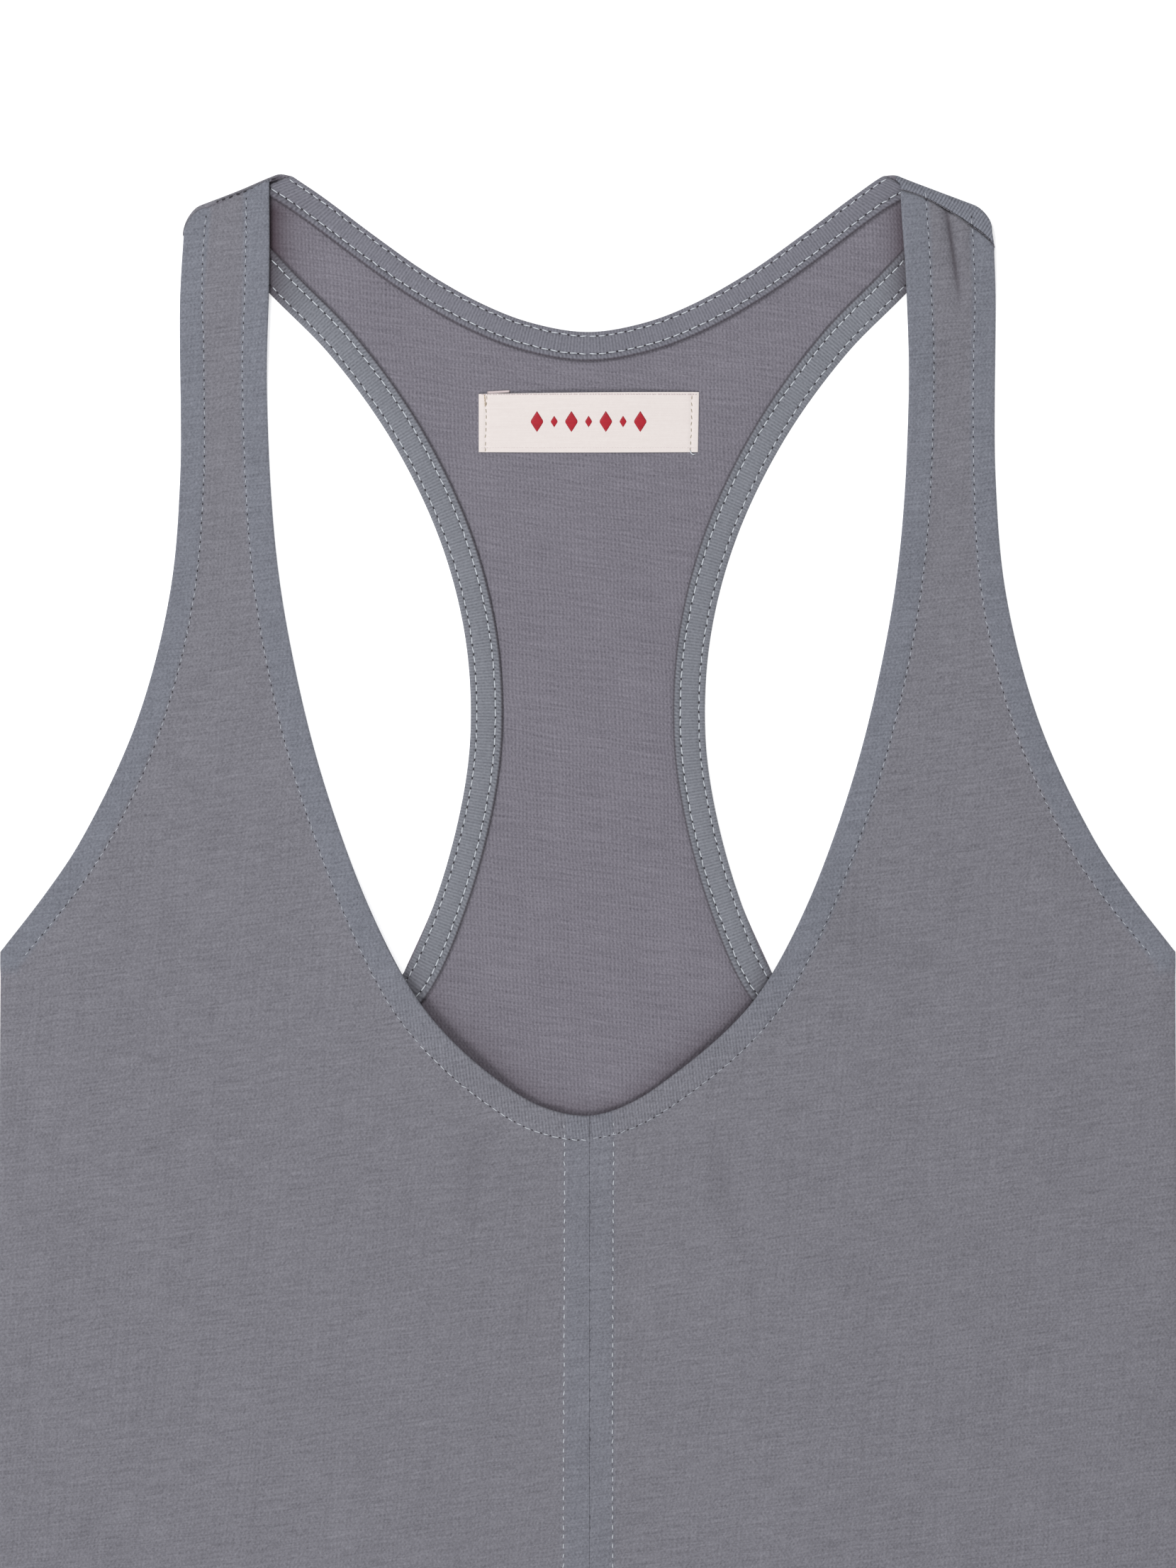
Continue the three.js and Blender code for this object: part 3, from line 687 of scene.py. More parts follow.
# Back: columns from the hem to the hidden armhole, then rows across the racerback and strap, the half
# circle of the fold and, on the right, the wedge that lies on the front.
def backHalf(side):
    seam = cut["shoulderSeam"][side]
    middleZ = cloth["thick"] / 2
    neckRows, foldRows, wedgeRows = 150, 14, 8 if seam[1] > 0 else 1

    centreLength = cut["backNeckline"][0][1] - waist[1]
    shares = np.linspace(0, 1, neckRows + 1)
    gone = shares * (centreLength + walked(backNeck)[-1])
    onCentre = np.stack([np.zeros(len(gone)), waist[1] + gone], -1)
    onNeck, _ = spotsAt(backNeck, (gone - centreLength).clip(0))
    start = np.where((gone <= centreLength)[:, None], onCentre, onNeck)
    end, _ = spotsAt(backArm, shares * walked(backArm)[-1])
    height = np.full(len(gone), middleZ)
    unfoldedStart, unfoldedEnd = start, end
    freeStart = gone > centreLength

    turn = np.linspace(0, 1, foldRows + 1)[1:]
    radius = cut["foldRadius"]
    out = (radius * np.sin(turn * math.pi))[:, None] * foldNormal
    inner, outer = cut["strapShare"]
    turned = (radius * turn * math.pi)[:, None] * foldNormal
    start = np.vstack([start, foldSpot(inner * turn) + out])
    end = np.vstack([end, foldSpot(1 + (outer - 1) * turn) + out])
    unfoldedStart = np.vstack([unfoldedStart, foldSpot(inner * turn) + turned])
    unfoldedEnd = np.vstack([unfoldedEnd, foldSpot(1 + (outer - 1) * turn) + turned])
    height = np.concatenate([height, middleZ + radius * (1 - np.cos(turn * math.pi))])

    down = np.linspace(0, 1, wedgeRows + 1)[1:]
    last = math.pi * radius
    for across, drops in ((0, seam[0]), (1, seam[1])):
        spots = np.array([strapSpot(across, (drops * d, drops * d)) for d in down]).reshape(-1, 2)
        flat = foldSpot(inner + (outer - inner) * across) + (last + drops * down)[:, None] * foldNormal
        if across:
            end, unfoldedEnd = np.vstack([end, spots]), np.vstack([unfoldedEnd, flat])
        else:
            start, unfoldedStart = np.vstack([start, spots]), np.vstack([unfoldedStart, flat])
    height = np.concatenate([height, np.full(wedgeRows, middleZ + 2 * radius)])
    freeStart = np.concatenate([freeStart, np.ones(foldRows + wedgeRows, bool)])

    reach = np.linalg.norm(end - start, axis=1)
    stops = np.tile(rimStops, (len(reach), 1))
    places = rayPlaces(reach, stops, stops, 26, 1.0)
    share = (places / reach[:, None])[..., None]
    upper = np.dstack([start[:, None] * (1 - share) + end[:, None] * share,
                       np.repeat(height[:, None], places.shape[1], 1)])
    flatUpper = unfoldedStart[:, None] * (1 - share) + unfoldedEnd[:, None] * share
    rimUpper = np.minimum(np.where(freeStart[:, None], places, 99), reach[:, None] - places)
    upper = cornerRounded(upper, side)

    topInner = np.stack([upper[0, :, 0], upper[0, :, 1]], -1)
    outerGone = walked(backArmHidden)[-1]
    lastStops = outerGone - rimStops[::-1]
    outerAt = np.concatenate([np.linspace(0, outerGone - 4, 36)[1:], lastStops])
    topOuter, _ = spotsAt(backArmHidden, outerAt)
    tops = np.vstack([topInner, topOuter])
    foot = np.stack([tops[:, 0] / underarm[0] * cut["hemHalf"]] * 2, -1)
    foot[:, 1] = hemHeight(foot[:, 0])
    rise = tops[:, 1] - foot[:, 1]
    lower = rayPlaces(rise, np.tile(hemStops, (len(rise), 1)), np.tile(rimStops, (len(rise), 1)), 70, 1.0).T
    lowerY = foot[:, 1] + lower
    lowerX = tops[:, 0] * sideX(lowerY) / underarm[0]
    lowerX[-1] = tops[:, 0]
    hidden = np.arange(len(tops)) >= len(topInner)
    sideGap = np.concatenate([np.full(len(topInner), 99.0), outerGone - outerAt])
    rimLower = np.minimum(lower, np.where(hidden, rise - lower, 99))
    rimLower = np.minimum(rimLower, sideGap[None])
    lowerPoints = np.dstack([lowerX, lowerY, np.full(lowerX.shape, middleZ)])

    wedge = np.zeros(places.shape)
    wedge[neckRows + foldRows // 2:] = 1 if seam[1] > 0 else 0
    wedge = np.concatenate([np.zeros(lowerX.size), wedge.ravel()])

    points = np.vstack([lowerPoints.reshape(-1, 3), upper.reshape(-1, 3)])
    flat = np.vstack([lowerPoints[..., :2].reshape(-1, 2), flatUpper.reshape(-1, 2)])
    quads = np.vstack([gridQuads(*lowerX.shape), gridQuads(*places.shape, first=lowerX.size)])
    rim = np.concatenate([rimLower.ravel(), rimUpper.ravel()])
    # painted shade beside the front's neckline, none on the wedge
    shade = neckShade(points[:, :2], side)
    if side < 0:
        points = points * (-1, 1, 1)
        flat = flat * (-1, 1)
        quads = quads[:, ::-1]
    return points, quads, rim, flat, wedge, shade * (1 - wedge)


def buildBack():
    right, left = backHalf(1), backHalf(-1)
    points = np.vstack([right[0], left[0]])
    quads = np.vstack([right[1], left[1] + len(right[0])])
    rim = np.concatenate([right[2], left[2]])
    flat = np.vstack([right[3], left[3]])
    first, quads = welded(points, quads)
    points, rim, flat = points[first], rim[first], flat[first]
    wedge = np.concatenate([right[4], left[4]])[first]      # 1 on what the fold brings to the front
    shade = np.concatenate([right[5], left[5]])[first]
    half = cloth["thick"] / 2 * rounded(rim, cloth["rim"])
    ribAt = 0.84 * points[:, 0] - 0.54 * points[:, 1]      # the wedge's ribs lean
    none = np.zeros(len(wedge))
    extras = {"knit": knitCoordinate(flat[:, 0], flat[:, 1]), "edge": np.stack([none, none, wedge], -1),
              "rib": np.stack([ribAt, wedge, shade], -1)}
    made = shellObject("backCloth", points, quads, half, np.zeros(len(points)),
                       [jerseyReverse, jerseyFace], extras)
    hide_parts("back")
    return made, flatArea(points, quads)


back, backArea = buildBack()
print("back made")

# Facings: jersey strips sewn along the back's edges with two rows, their inner edge rolled by overlocking.
facings = {
    "neck": {"width": 9.1, "rows": (1.35, 6.9), "turn": 26.0, "innerHeight": 1.25, "material": neckFacingJersey},
    "arm": {"width": 10.0, "rows": (1.9, 7.7), "turn": 26.0, "innerHeight": 1.25, "material": armFacingJersey,
            "tuck": 12.0},
}


# Top of a facing at a distance from its outer edge: a small rim, a pad between the two sunk rows and a
# round roll along the inner edge.
def facingTop(distance, look):
    first, second = look["rows"]
    pad = 0.3 * np.sin(np.clip((distance - first) / (second - first), 0, 1) * math.pi) ** 0.7
    rollMiddle = (second + 0.5 + look["width"]) / 2
    rollHalf = (look["width"] - second - 0.3) / 2
    roll = 0.42 * np.sqrt(np.clip(1 - ((distance - rollMiddle) / rollHalf) ** 2, 0, 1))
    rows = sum(0.3 * np.exp(-(((distance - row) / 0.45) ** 2)) for row in (first, second))
    return 1.6 + pad + roll - rows


# Spots of a facing: its width runs square to the edge, and turns at the shoulder to follow the fold.
def facingSpots(line, lengths, distances, look, towards):
    spots, heading = spotsAt(line, lengths)
    heading = np.where((spots[:, :1] < 0.01), (1.0, 0.0), heading)
    square = rightOf(heading) * towards
    turned = smooth(walked(line)[-1] - lengths, 0, look["turn"])[:, None]
    across = foldAlong * towards * (1 - turned) + square * turned
    across /= (across * square).sum(1, keepdims=True)
    return spots[:, None] + across[:, None] * np.asarray(distances)[None, :, None]


tuckedArm = smoothLine([spotsAt(backArmHidden, facings["arm"]["tuck"])[0], *cut["backArmhole"],
                        cut["foldOuter"]])
facingStops = np.array([0, 0.012, 0.03, 0.06, 0.1, 0.13, 0.16, 0.19, 0.23, 0.28, 0.36, 0.46, 0.56, 0.64, 0.7,
                        0.73, 0.76, 0.79, 0.82, 0.855, 0.89, 0.92, 0.95, 0.975, 0.99, 1.0])


def facingGrid(line, look, towards, side):
    lengths = np.linspace(0, walked(line)[-1], int(walked(line)[-1] / 0.8))
    distances = facingStops * look["width"]
    spots = facingSpots(line, lengths, distances, look, towards)
    top = np.tile(facingTop(distances, look), (len(lengths), 1))
    bottom = np.full(top.shape, 0.85)
    outerRim = rounded(distances, 0.9)
    innerRim = rounded(look["width"] - distances, 0.5)
    top = 0.42 + (top - 0.42) * outerRim
    bottom = 0.4 + (bottom - 0.4) * outerRim
    top = look["innerHeight"] + (top - look["innerHeight"]) * innerRim
    bottom = look["innerHeight"] + (bottom - look["innerHeight"]) * innerRim
    points = np.dstack([spots, (top + bottom) / 2])
    half = (top - bottom) / 2
    edge = np.stack([np.tile(distances, (len(lengths), 1)), np.repeat(lengths[:, None], len(distances), 1),
                     np.ones(top.shape)], -1)
    points = cornerRounded(points, side)
    # painted shade beside the front's neckline, a little weaker on the facings
    shade = neckShade(points[..., :2], side) * 0.8
    points[..., 0] *= side
    quads = gridQuads(*top.shape)
    quads = quads if towards * side > 0 else quads[:, ::-1]
    rib = np.stack([side * edge[..., 1], edge[..., 2], shade], -1)
    return points.reshape(-1, 3), quads, half.ravel(), edge.reshape(-1, 3), rib.reshape(-1, 3)


def buildFacing(name, node, grids, look):
    starts = np.cumsum([0] + [len(grid[0]) for grid in grids])
    points = np.vstack([grid[0] for grid in grids])
    quads = np.vstack([grid[1] + start for grid, start in zip(grids, starts)])
    half = np.concatenate([grid[2] for grid in grids])
    edge = np.vstack([grid[3] for grid in grids])
    rib = np.vstack([grid[4] for grid in grids])
    first, quads = welded(points, quads)
    points, half, edge, rib = points[first], half[first], edge[first], rib[first]
    extras = {"knit": np.stack([rib[:, 0], edge[:, 0], np.zeros(len(edge))], -1), "edge": edge, "rib": rib}
    made = shellObject(name, points, quads, half, np.zeros(len(points)), [look["material"]] * 2, extras)
    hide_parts(node)
    return made, flatArea(points, quads)


neckFacing, neckFacingArea = buildFacing(
    "backNeckFacingStrip", "back_neck_facing",
    [facingGrid(backNeck, facings["neck"], 1, side) for side in (1, -1)], facings["neck"])
armFacings = {}
for side, word in ((1, "right"), (-1, "left")):
    armFacings[side] = buildFacing(f"armholeFacingStrip_{word}", f"back_armhole_facing_{word}",
                                   [facingGrid(tuckedArm, facings["arm"], -1, side)], facings["arm"])
print("facings made")

# Stitches: round-ended lengths of thread, each dipping into the cloth at its ends.
stitch = {"pitch": 3.0, "length": 2.3, "radius": 0.19, "dip": 0.16, "shortLength": 1.65}
ringPlaces = np.array([-0.5, -0.4, 0.0, 0.4, 0.5])
ringRadii = np.array([0.35, 0.85, 1.0, 0.85, 0.35])
ringSides = 6


# A row of stitches along a line of points in space: five rings of six points round each length.
def stitchRow(line, pitch, length, radius, dip, wander=0.1, phase=0.5):
    total = walked(line)[-1]
    count = max(1, int(total / pitch - phase) + 1)
    centres = (np.arange(count) + phase) * pitch + rng.normal(0, 0.08, count)
    lengths = length * (1 + rng.normal(0, 0.07, count))
    at = np.clip(centres[:, None] + ringPlaces * lengths[:, None], 0, total)
    spots, heading = spotsAt(line, at)
    sideways = np.stack([heading[..., 1], -heading[..., 0], np.zeros(heading.shape[:2])], -1)
    sideways /= np.linalg.norm(sideways, axis=-1, keepdims=True)
    slant = rng.normal(0, wander, (count, 1)) * ringPlaces * 2 + rng.normal(0, wander * 0.5, (count, 1))
    spots = spots + sideways * slant[..., None]
    spots[..., 2] += radius * 0.55 - dip * (2 * ringPlaces) ** 2
    angle = np.arange(ringSides) / ringSides * 2 * math.pi
    size = (radius * ringRadii)[None, :, None, None]
    ring = sideways[:, :, None] * np.cos(angle)[None, None, :, None]
    ring = ring + np.array([0, 0, 1]) * np.sin(angle)[None, None, :, None]
    points = spots[:, :, None] + ring * size
    rings = len(ringPlaces)
    base = (np.arange(count) * rings * ringSides)[:, None, None]
    ringAt = (np.arange(rings - 1) * ringSides)[None, :, None]
    here, onwards = np.arange(ringSides), (np.arange(ringSides) + 1) % ringSides
    faces = np.stack([base + ringAt + here, base + ringAt + onwards, base + ringAt + ringSides + onwards,
                      base + ringAt + ringSides + here], -1).reshape(-1, 4)
    capQuads = np.array([[0, 1, 2, 3], [0, 3, 4, 5]])
    startCaps = (base + capQuads[None, :, ::-1]).reshape(-1, 4)
    endCaps = (base + (rings - 1) * ringSides + capQuads[None]).reshape(-1, 4)
    faces = np.vstack([faces[:, ::-1], startCaps[:, ::-1], endCaps[:, ::-1]])
    return points.reshape(-1, 3), faces


def joinRows(name, rows, materials):      # rows are (points, faces, material number)
    starts = np.cumsum([0] + [len(row[0]) for row in rows])
    points = np.vstack([row[0] for row in rows])
    faces = np.vstack([row[1] + start for row, start in zip(rows, starts)])
    numbers = np.concatenate([np.full(len(row[1]), row[2]) for row in rows])
    return makeObject(name, points, faces, materials, numbers)


# Each row of stitches has a dark bead sunk between its lengths: painted shade of the needle hole.
def sewnRow(line, light, phase=0.5, size=1.0, hole=0.75, length=stitch["length"]):
    pitch, radius = stitch["pitch"], stitch["radius"] * size
    dashes = stitchRow(line, pitch, length * size, radius, stitch["dip"], 0.1, phase)
    holeShade = stitchRow(line, pitch, 0.65, 0.16 + 0.08 * hole, 0.0, 0.03, phase + 0.5)
    holeShade[0][:, 2] -= 0.12 + (1 - hole) * 0.1
    return [(*dashes, light), (*holeShade, 1)]


# A line on the front, with its height taken from the cloth's top there.
def onFront(xy, side, sink=0.0):
    middle, relief = frontSurface(xy, side)[:2]
    return laidOut(np.column_stack([xy, middle + cloth["thick"] / 2 + relief - sink]), side)


def carriedOn(line, length):      # a line made longer, straight on from its end
    step = line[-1] - line[-2]
    return np.vstack([line, line[-1] + step / np.linalg.norm(step) * length])


def frontRows(side):
    neck, arm = frontLines[side]
    rows = []
    short = {"size": 0.85, "length": stitch["shortLength"]}
    stop = 0.6 if side > 0 else -0.9          # how far past the fold's line the rows run
    turn = 62.0                               # the stitches of the neckline are long round its foot
    lengths = np.arange(0.6, walked(neck)[-1] + 3, 1.0)
    spots, heading = spotsAt(carriedOn(neck, 3), lengths)
    waver = 0.25 * np.sin(lengths / 23)
    line = spots + rightOf(heading) * (rowAt("neckRow", side, neck, lengths) + waver)[:, None]
    line = line[(line[:, 0] > 0.2) & ((line - foldInner) @ foldNormal < stop)]
    foot = walked(line) < turn
    rows += sewnRow(onFront(line[foot], side), 0 if side > 0 else 2, 0.3, 0.72, length=2.6)
    rows += sewnRow(onFront(line[~foot], side), 0, 0.3, **short)
    lengths = np.arange(3.0, walked(arm)[-1] + 9, 1.0)
    spots, heading = spotsAt(carriedOn(arm, 10), lengths)
    waver = 0.2 * np.sin(lengths / 31)
    line = spots - rightOf(heading) * (rowAt("armRow", side, arm, lengths) + waver)[:, None]
    line = line[(line - foldInner) @ foldNormal < stop]
    rows += sewnRow(onFront(line, side), 0, 0.6, **short)
    ys = np.arange(hemHeight(0) + 1.5, 4.5, 1.0)
    line = np.stack([cloth["centreRow"] - 0.2 * side + 0.2 * np.sin(ys / 37 + side), ys], -1)
    rows += sewnRow(onFront(line[ys < -1.2], side), 2, 0.4, 0.82, 0.0, stitch["shortLength"] + 0.2)
    rows += sewnRow(onFront(line[ys > -2], side), 2, 0.4, 0.62, 0.0, stitch["shortLength"])
    if side > 0:      # tips of the seam's own thread show along the centre
        line = np.stack([0.12 + 0.1 * np.sin(ys / 5.1), ys], -1)
        tips = onFront(line, side, 0.08)
        rows.append((*stitchRow(tips, 3.1, 1.5, 0.09, 0.08, 0.16), 1))
    xs = np.arange(2.0, cut["hemHalf"] - 2, 1.0)
    for rise in cloth["hemRows"]:
        rows += sewnRow(onFront(np.stack([xs, hemHeight(xs) + rise], -1), side), 0, 0.5)
    return rows


frontSewing = joinRows("frontStitches", frontRows(1) + frontRows(-1), [greyThread, darkMarksAndHoleShade, paleThread])


def facingRow(line, look, towards, side, distance):
    lengths = np.arange(0.4, walked(line)[-1] - 0.6, 1.0)
    spots = facingSpots(line, lengths, [distance], look, towards)[:, 0]
    top = facingTop(np.array([distance]), look)[0]
    points = cornerRounded(np.column_stack([spots, np.full(len(spots), top)]), side)
    points[:, 0] *= side
    return points


def facingSewing():
    rows = []
    for side in (1, -1):
        for line, key, towards in ((backNeck, "neck", 1), (tuckedArm, "arm", -1)):
            for distance, size in zip(facings[key]["rows"], (0.95, 1.12)):
                rows += sewnRow(facingRow(line, facings[key], towards, side, distance), 0, 0.35, size, 1.5)
    return joinRows("facingStitches", rows, [paleThread, darkMarksAndHoleShade])


facingThreads = facingSewing()
print("stitches made")

# Shoulder seams: a rope of overlock thread on the left fold, and sunk dashes on the right.
seamRope = {"turns": 9, "radius": 0.26, "sides": 8, "steps": 220}


# A tube along a line of points whose section has two lobes that turn as it goes, like twisted thread.
def ropeAlong(line, look):
    total = walked(line)[-1]
    at = np.linspace(0, total, look["steps"])
    spots, heading = spotsAt(line, at)
    sideways = np.stack([heading[:, 1], -heading[:, 0], np.zeros(len(at))], -1)
    sideways /= np.linalg.norm(sideways, axis=1, keepdims=True)
    angle = np.arange(look["sides"]) / look["sides"] * 2 * math.pi
    twist = at / total * look["turns"] * 2 * math.pi
    lobes = 1 + 0.28 * np.cos(2 * angle[None] - twist[:, None])
    taper = rounded(at, 2.0) * rounded(total - at, 2.0)
    size = look["radius"] * lobes * np.maximum(taper, 0.02)[:, None]
    ring = sideways[:, None] * np.cos(angle)[None, :, None]
    ring = ring + np.array([0, 0, 1]) * np.sin(angle)[None, :, None]
    points = (spots[:, None] + ring * size[..., None]).reshape(-1, 3)
    grid = np.arange(len(points)).reshape(len(at), look["sides"])
    wrapped = np.roll(grid, -1, 1)
    faces = np.stack([grid[:-1], grid[1:], wrapped[1:], wrapped[:-1]], -1).reshape(-1, 4)
    caps = np.array([[0, 1, 2, 3], [0, 3, 4, 5], [0, 5, 6, 7]])
    last = (len(at) - 1) * look["sides"]
    return points, np.vstack([faces, caps, last + caps[:, ::-1]])


def shoulderSewing():
    topZ = cloth["thick"] + 2 * cut["foldRadius"]
    shares = np.linspace(0.1, 0.74, 60)
    left = foldSpot(shares) + foldNormal * 1.0
    left = np.column_stack([left, np.full(len(shares), topZ - 0.25)])
    left = cornerRounded(left, -1) * (-1, 1, 1)
    rows = [(*ropeAlong(left, seamRope), 0)]
    dashes = left - np.array([0, 0.55, -0.12])
    rows.append((*stitchRow(dashes[3:] + np.array([0, 0, 0.1]), 2.4, 1.3, 0.23, 0.1), 1))
    across = np.linspace(0.0, 1.0, 40)
    seam = cut["shoulderSeam"][1]
    right = np.array([strapSpot(a, seam) for a in across])
    right = cornerRounded(np.column_stack([right, np.full(len(across), topZ - 0.16)]), 1)
    rows.append((*stitchRow(right, 1.3, 1.15, 0.17, 0.05, 0.04), 0))
    rows.append((*stitchRow(right[24:] + np.array([0, 0, 0.12]), 2.7, 1.5, 0.09, 0.08), 1))
    return joinRows("shoulderSeamThreads", rows, [seamThread, darkMarksAndHoleShade])


shoulderThreads = shoulderSewing()
print("shoulders made")

# Label: woven satin ribbon laid flat, sewn down across both short ends.
ribbon = {"x": 0.25, "y": 222.7, "width": 69.0, "height": 18.6, "thick": 0.42, "restsAt": 0.86, "sewn": 2.3,
          "lozenges": 7, "spacing": 5.4, "lozengeWide": 4.6, "lozengeTall": 7.2}


# Damask-woven polyester satin: fine threads along the ribbon, a soft streaky gloss.
def satin(name, dark, light):
    material, tree, shader = startMaterial(name, 0.42, Sheen_Weight=0.25, Sheen_Roughness=0.4)
    place = addNode(tree, "TexCoord", out="Object")
    along = addNode(tree, "VectorMath", multiply, place, (90, 2600, 1))
    threads = addNode(tree, "TexNoise", Vector=along, Scale=1.0, Detail=2.0)
    speck = addNode(tree, "TexNoise", Vector=place, Scale=900.0, Detail=3.0)
    speck = addNode(tree, "Math", multiply, speck, 0.4)
    tone = addNode(tree, "Math", multiplyAdd, threads, 0.6, speck)
    colour = addNode(tree, "Mix", colourMix, out=2, _0=tone, _6=linear(dark), _7=linear(light))
    finishShader(tree, shader, colour, tone, 0.25, 0.00015)
    return material


whiteSatin = satin("woven satin, off-white", "#e2d8d5", "#f0e9e6")
pinkSatin = satin("woven satin selvage, pale pink", "#c9b9bb", "#dfd2d3")
redSatin = satin("woven satin, red", "#92061b", "#c8122c")


# Height of the label over its own flat: pressed down at the sewn ends, lightly bowed between.
def labelHeight(x, y):
    u = (x - ribbon["x"]) / ribbon["width"] * 2
    v = (y - ribbon["y"]) / ribbon["height"] * 2
    free = (1 - u**2).clip(0)      # 0 at the sewn ends
    arch = 0.32 * free**0.8 + 0.1 * np.sin(u * 4 + v) * free
    return ribbon["restsAt"] + arch + (0.24 * v + 0.4 * np.maximum(v, 0) ** 3) * free**0.5


def buildLabel():
    u = np.sin(np.linspace(-1, 1, 90) * math.pi / 2)
    v = np.sin(np.linspace(-1, 1, 34) * math.pi / 2)
    x = ribbon["x"] + u[None] * ribbon["width"] / 2 + 0.18 * v[:, None] * (u[None] > 0)
    y = ribbon["y"] + v[:, None] * ribbon["height"] / 2 + 0.1 * (1 - u[None] ** 2) * v[:, None]
    y = y + 0.3 * u[None] * v[:, None].clip(0)
    x, y = np.broadcast_arrays(x, y)
    endGap = ribbon["width"] / 2 * (1 - np.abs(u))[None]
    topGap = ribbon["height"] / 2 * (1 - np.abs(v))[:, None]
    rim = np.minimum(endGap, topGap)
    half = ribbon["thick"] / 2 * rounded(rim, 0.25)
    sewn = -0.16 * np.exp(-(((endGap - ribbon["sewn"]) / 0.4) ** 2)) * np.ones(topGap.shape)
    selvage = 0.05 * np.exp(-(((topGap - 1.3) / 0.2) ** 2)) * np.ones(endGap.shape)
    points = np.dstack([x, y, labelHeight(x, y) + ribbon["thick"] / 2])
    quads = gridQuads(*x.shape)
    made = shellObject("satinLabel", points.reshape(-1, 3), quads, half.ravel(), (sewn + selvage).ravel(),
                       [whiteSatin, whiteSatin])
    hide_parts("label")
    return made, flatArea(points.reshape(-1, 3), quads)


label, labelArea = buildLabel()


def labelTop(x, y):
    return labelHeight(x, y) + ribbon["thick"]


# A plain row of woven lozenges: each a low cushion over a diamond, highest in its middle.
def buildLozenges():
    count = ribbon["lozenges"]
    steps = np.linspace(-1, 1, 9)
    a, b = np.meshgrid(steps, steps)
    localX, localY = (a + b) / 4 * ribbon["lozengeWide"], (a - b) / 4 * ribbon["lozengeTall"]
    number = np.arange(count)[:, None, None]
    size = np.where(number % 2 == 0, 1.0, 0.55)
    x = ribbon["x"] + (number - (count - 1) / 2) * ribbon["spacing"] + localX * size
    y = ribbon["y"] + 0.3 + localY * size
    lift = 0.09 * ((1 - a**2) * (1 - b**2)) ** 0.35
    z = labelTop(x, y) - 0.03 + lift
    points = np.stack([x, y, z], -1).reshape(-1, 3)
    quads = np.vstack([gridQuads(9, 9, first=k * 81) for k in range(count)])[:, ::-1]
    relief = np.zeros(len(points))
    return shellObject("labelLozenges", points, quads, relief + 0.04, relief, [redSatin, redSatin])


lozenges = buildLozenges()


# A little patch of ribbon: a flat rounded strip between two points.
def stripPatch(name, start, end, width, z, material):
    start, end = np.array(start, float), np.array(end, float)
    run = end - start
    normal = np.array([-run[1], run[0]]) / np.linalg.norm(run)
    s, t = np.meshgrid(np.linspace(0, 1, 14), np.linspace(-1, 1, 7))
    xy = start + s[..., None] * run + (t * width / 2 * (1 - 0.25 * s))[..., None] * normal
    rim = np.minimum(width / 2 * (1 - np.abs(t)), np.minimum(s, 1 - s) * np.linalg.norm(run))
    points = np.dstack([xy, np.full(s.shape, z) + 0.08 * s])
    return shellObject(name, points.reshape(-1, 3), gridQuads(*s.shape), 0.14 * rounded(rim, 0.3).ravel(),
                       np.zeros(s.size), [material, material])


labelFold = stripPatch("labelTurnedEnd", (-31.6, 232.0), (-24.4, 232.5), 1.1, 1.05, pinkSatin)


def labelRows():
    rows = []
    for end in (-1, 1):
        ys = ribbon["y"] + np.linspace(ribbon["height"] / 2 - 0.4, 0.3 - ribbon["height"] / 2, 24)
        inset = ribbon["width"] / 2 - ribbon["sewn"] + 0.5 * end * (ys - ribbon["y"]) / ribbon["height"]
        xs = ribbon["x"] + end * inset
        line = np.column_stack([xs, ys, labelTop(xs, ys) - 0.16])
        rows.append((*stitchRow(line, 2.05, 1.2, 0.13, 0.06, 0.12), 0))
    xs = np.linspace(-33.6, 34.1, 90)
    for y, radius in ((231.5, 0.13), (214.75, 0.06)):
        line = np.column_stack([xs, np.full(90, y), labelTop(xs, y) - 0.03])
        rows.append((*stitchRow(line, 0.85, 0.66, radius, 0.02, 0.02), 3))
    mark = np.column_stack([np.linspace(-32.5, -32.1, 8), np.linspace(231.6, 227.6, 8), np.full(8, 1.36)])
    rows.append((*stitchRow(mark, 0.8, 0.9, 0.16, 0.02, 0.12), 1))
    turn = np.linspace(0, 1, 12)
    tail = np.column_stack([32.0 + 1.9 * turn**1.5, 214.2 - 1.5 * np.sin(turn * 2.2), 1.4 - 0.35 * turn])
    rows.append((*ropeAlong(tail, {"turns": 3, "radius": 0.2, "sides": 8, "steps": 24}), 2))
    return joinRows("labelStitches", rows, [dullThread, tanThread, paleThread, pinkSatin])


labelThreads = labelRows()
print("label made")

# Every piece rides on the one body.
pieces = [fronts[1][0], fronts[-1][0], back, neckFacing, armFacings[1][0], armFacings[-1][0], frontSewing,
          facingThreads, shoulderThreads, label, lozenges, labelFold, labelThreads]
for piece in pieces:
    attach(piece, "root")

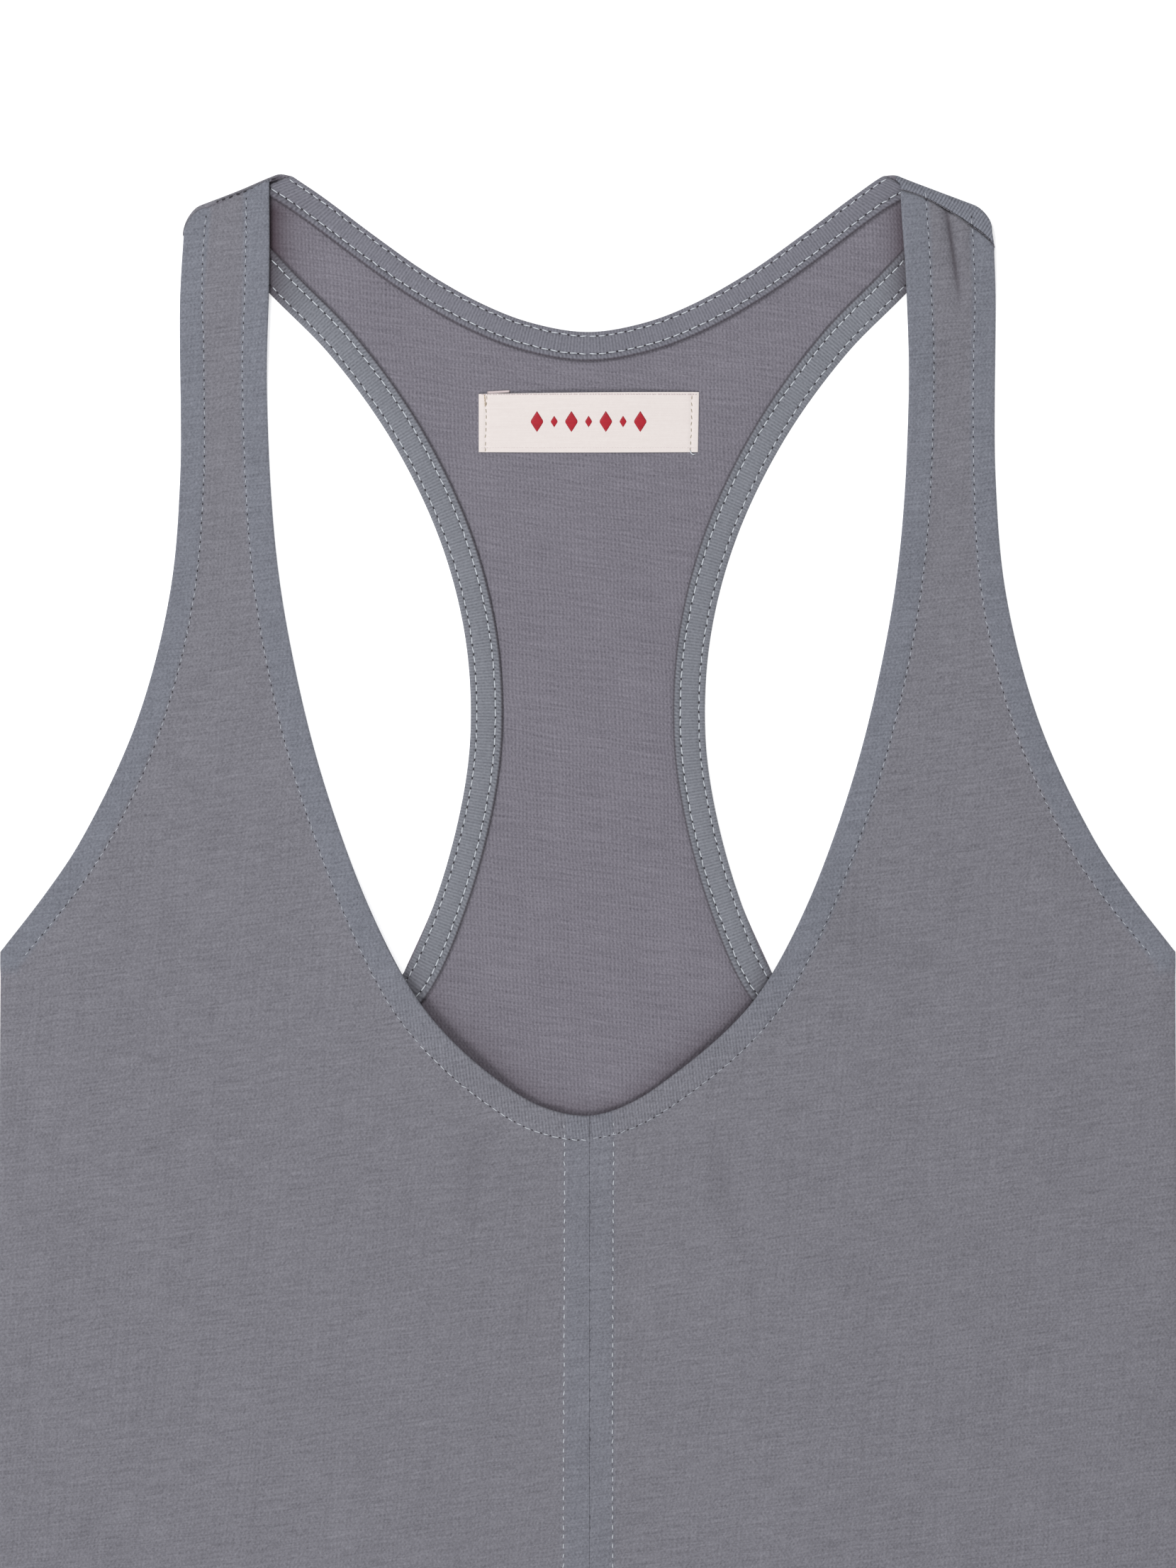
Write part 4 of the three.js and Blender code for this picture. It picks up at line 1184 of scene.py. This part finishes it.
# Floor, light and camera
studio = {"lens": 100.0, "sensor": 36.0, "centre": (0.055, 109.33), "seenTall": 491.56, "clothTop": 2.0}


def makeFloor():
    size = 3.0
    mesh = bpy.data.meshes.new("floor")
    mesh.from_pydata([(-size, -size, -0.0002), (size, -size, -0.0002), (size, size, -0.0002),
                      (-size, size, -0.0002)], [], [(0, 1, 2, 3)])
    material, tree, shader = startMaterial("matte white paper", 0.9)
    shader.inputs["Base Color"].default_value = linear("#fbfbfb")
    shader.inputs["Emission Color"].default_value = (1, 1, 1, 1)
    shader.inputs["Emission Strength"].default_value = 0.5
    mesh.materials.append(material)
    made = bpy.data.objects.new("floor", mesh)
    bpy.context.scene.collection.objects.link(made)


def makeLight(name, place, size, power):
    lamp = bpy.data.lights.new(name, "AREA")
    lamp.shape = "DISK"
    lamp.size = size
    lamp.energy = power
    made = bpy.data.objects.new(name, lamp)
    made.location = place
    aim = np.array([0, 0.05, 0]) - np.array(place)
    made.rotation_euler = (math.atan2(math.hypot(aim[0], aim[1]), -aim[2]), 0, math.atan2(-aim[0], aim[1]))
    bpy.context.scene.collection.objects.link(made)


def makeCamera():
    camera = bpy.data.cameras.new("camera")
    camera.lens = studio["lens"]
    camera.sensor_width = studio["sensor"]
    made = bpy.data.objects.new("camera", camera)
    distance = studio["seenTall"] / studio["sensor"] * studio["lens"] + studio["clothTop"]
    made.location = (studio["centre"][0] / 1000, studio["centre"][1] / 1000, distance / 1000)
    bpy.context.scene.collection.objects.link(made)
    bpy.context.scene.camera = made


makeFloor()
makeLight("softBoxKey", (-0.7, -2.2, 2.6), 1.3, 57)
makeLight("softBoxTop", (-0.4, 0.8, 0.95), 0.6, 5.6)
makeCamera()
world = bpy.data.worlds.new("studio")
bpy.context.scene.world = world
world.use_nodes = True
world.node_tree.nodes["Background"].inputs["Color"].default_value = (1, 1, 1, 1)
world.node_tree.nodes["Background"].inputs["Strength"].default_value = 0.4
bpy.context.scene.view_settings.view_transform = "Standard"
print("studio made")
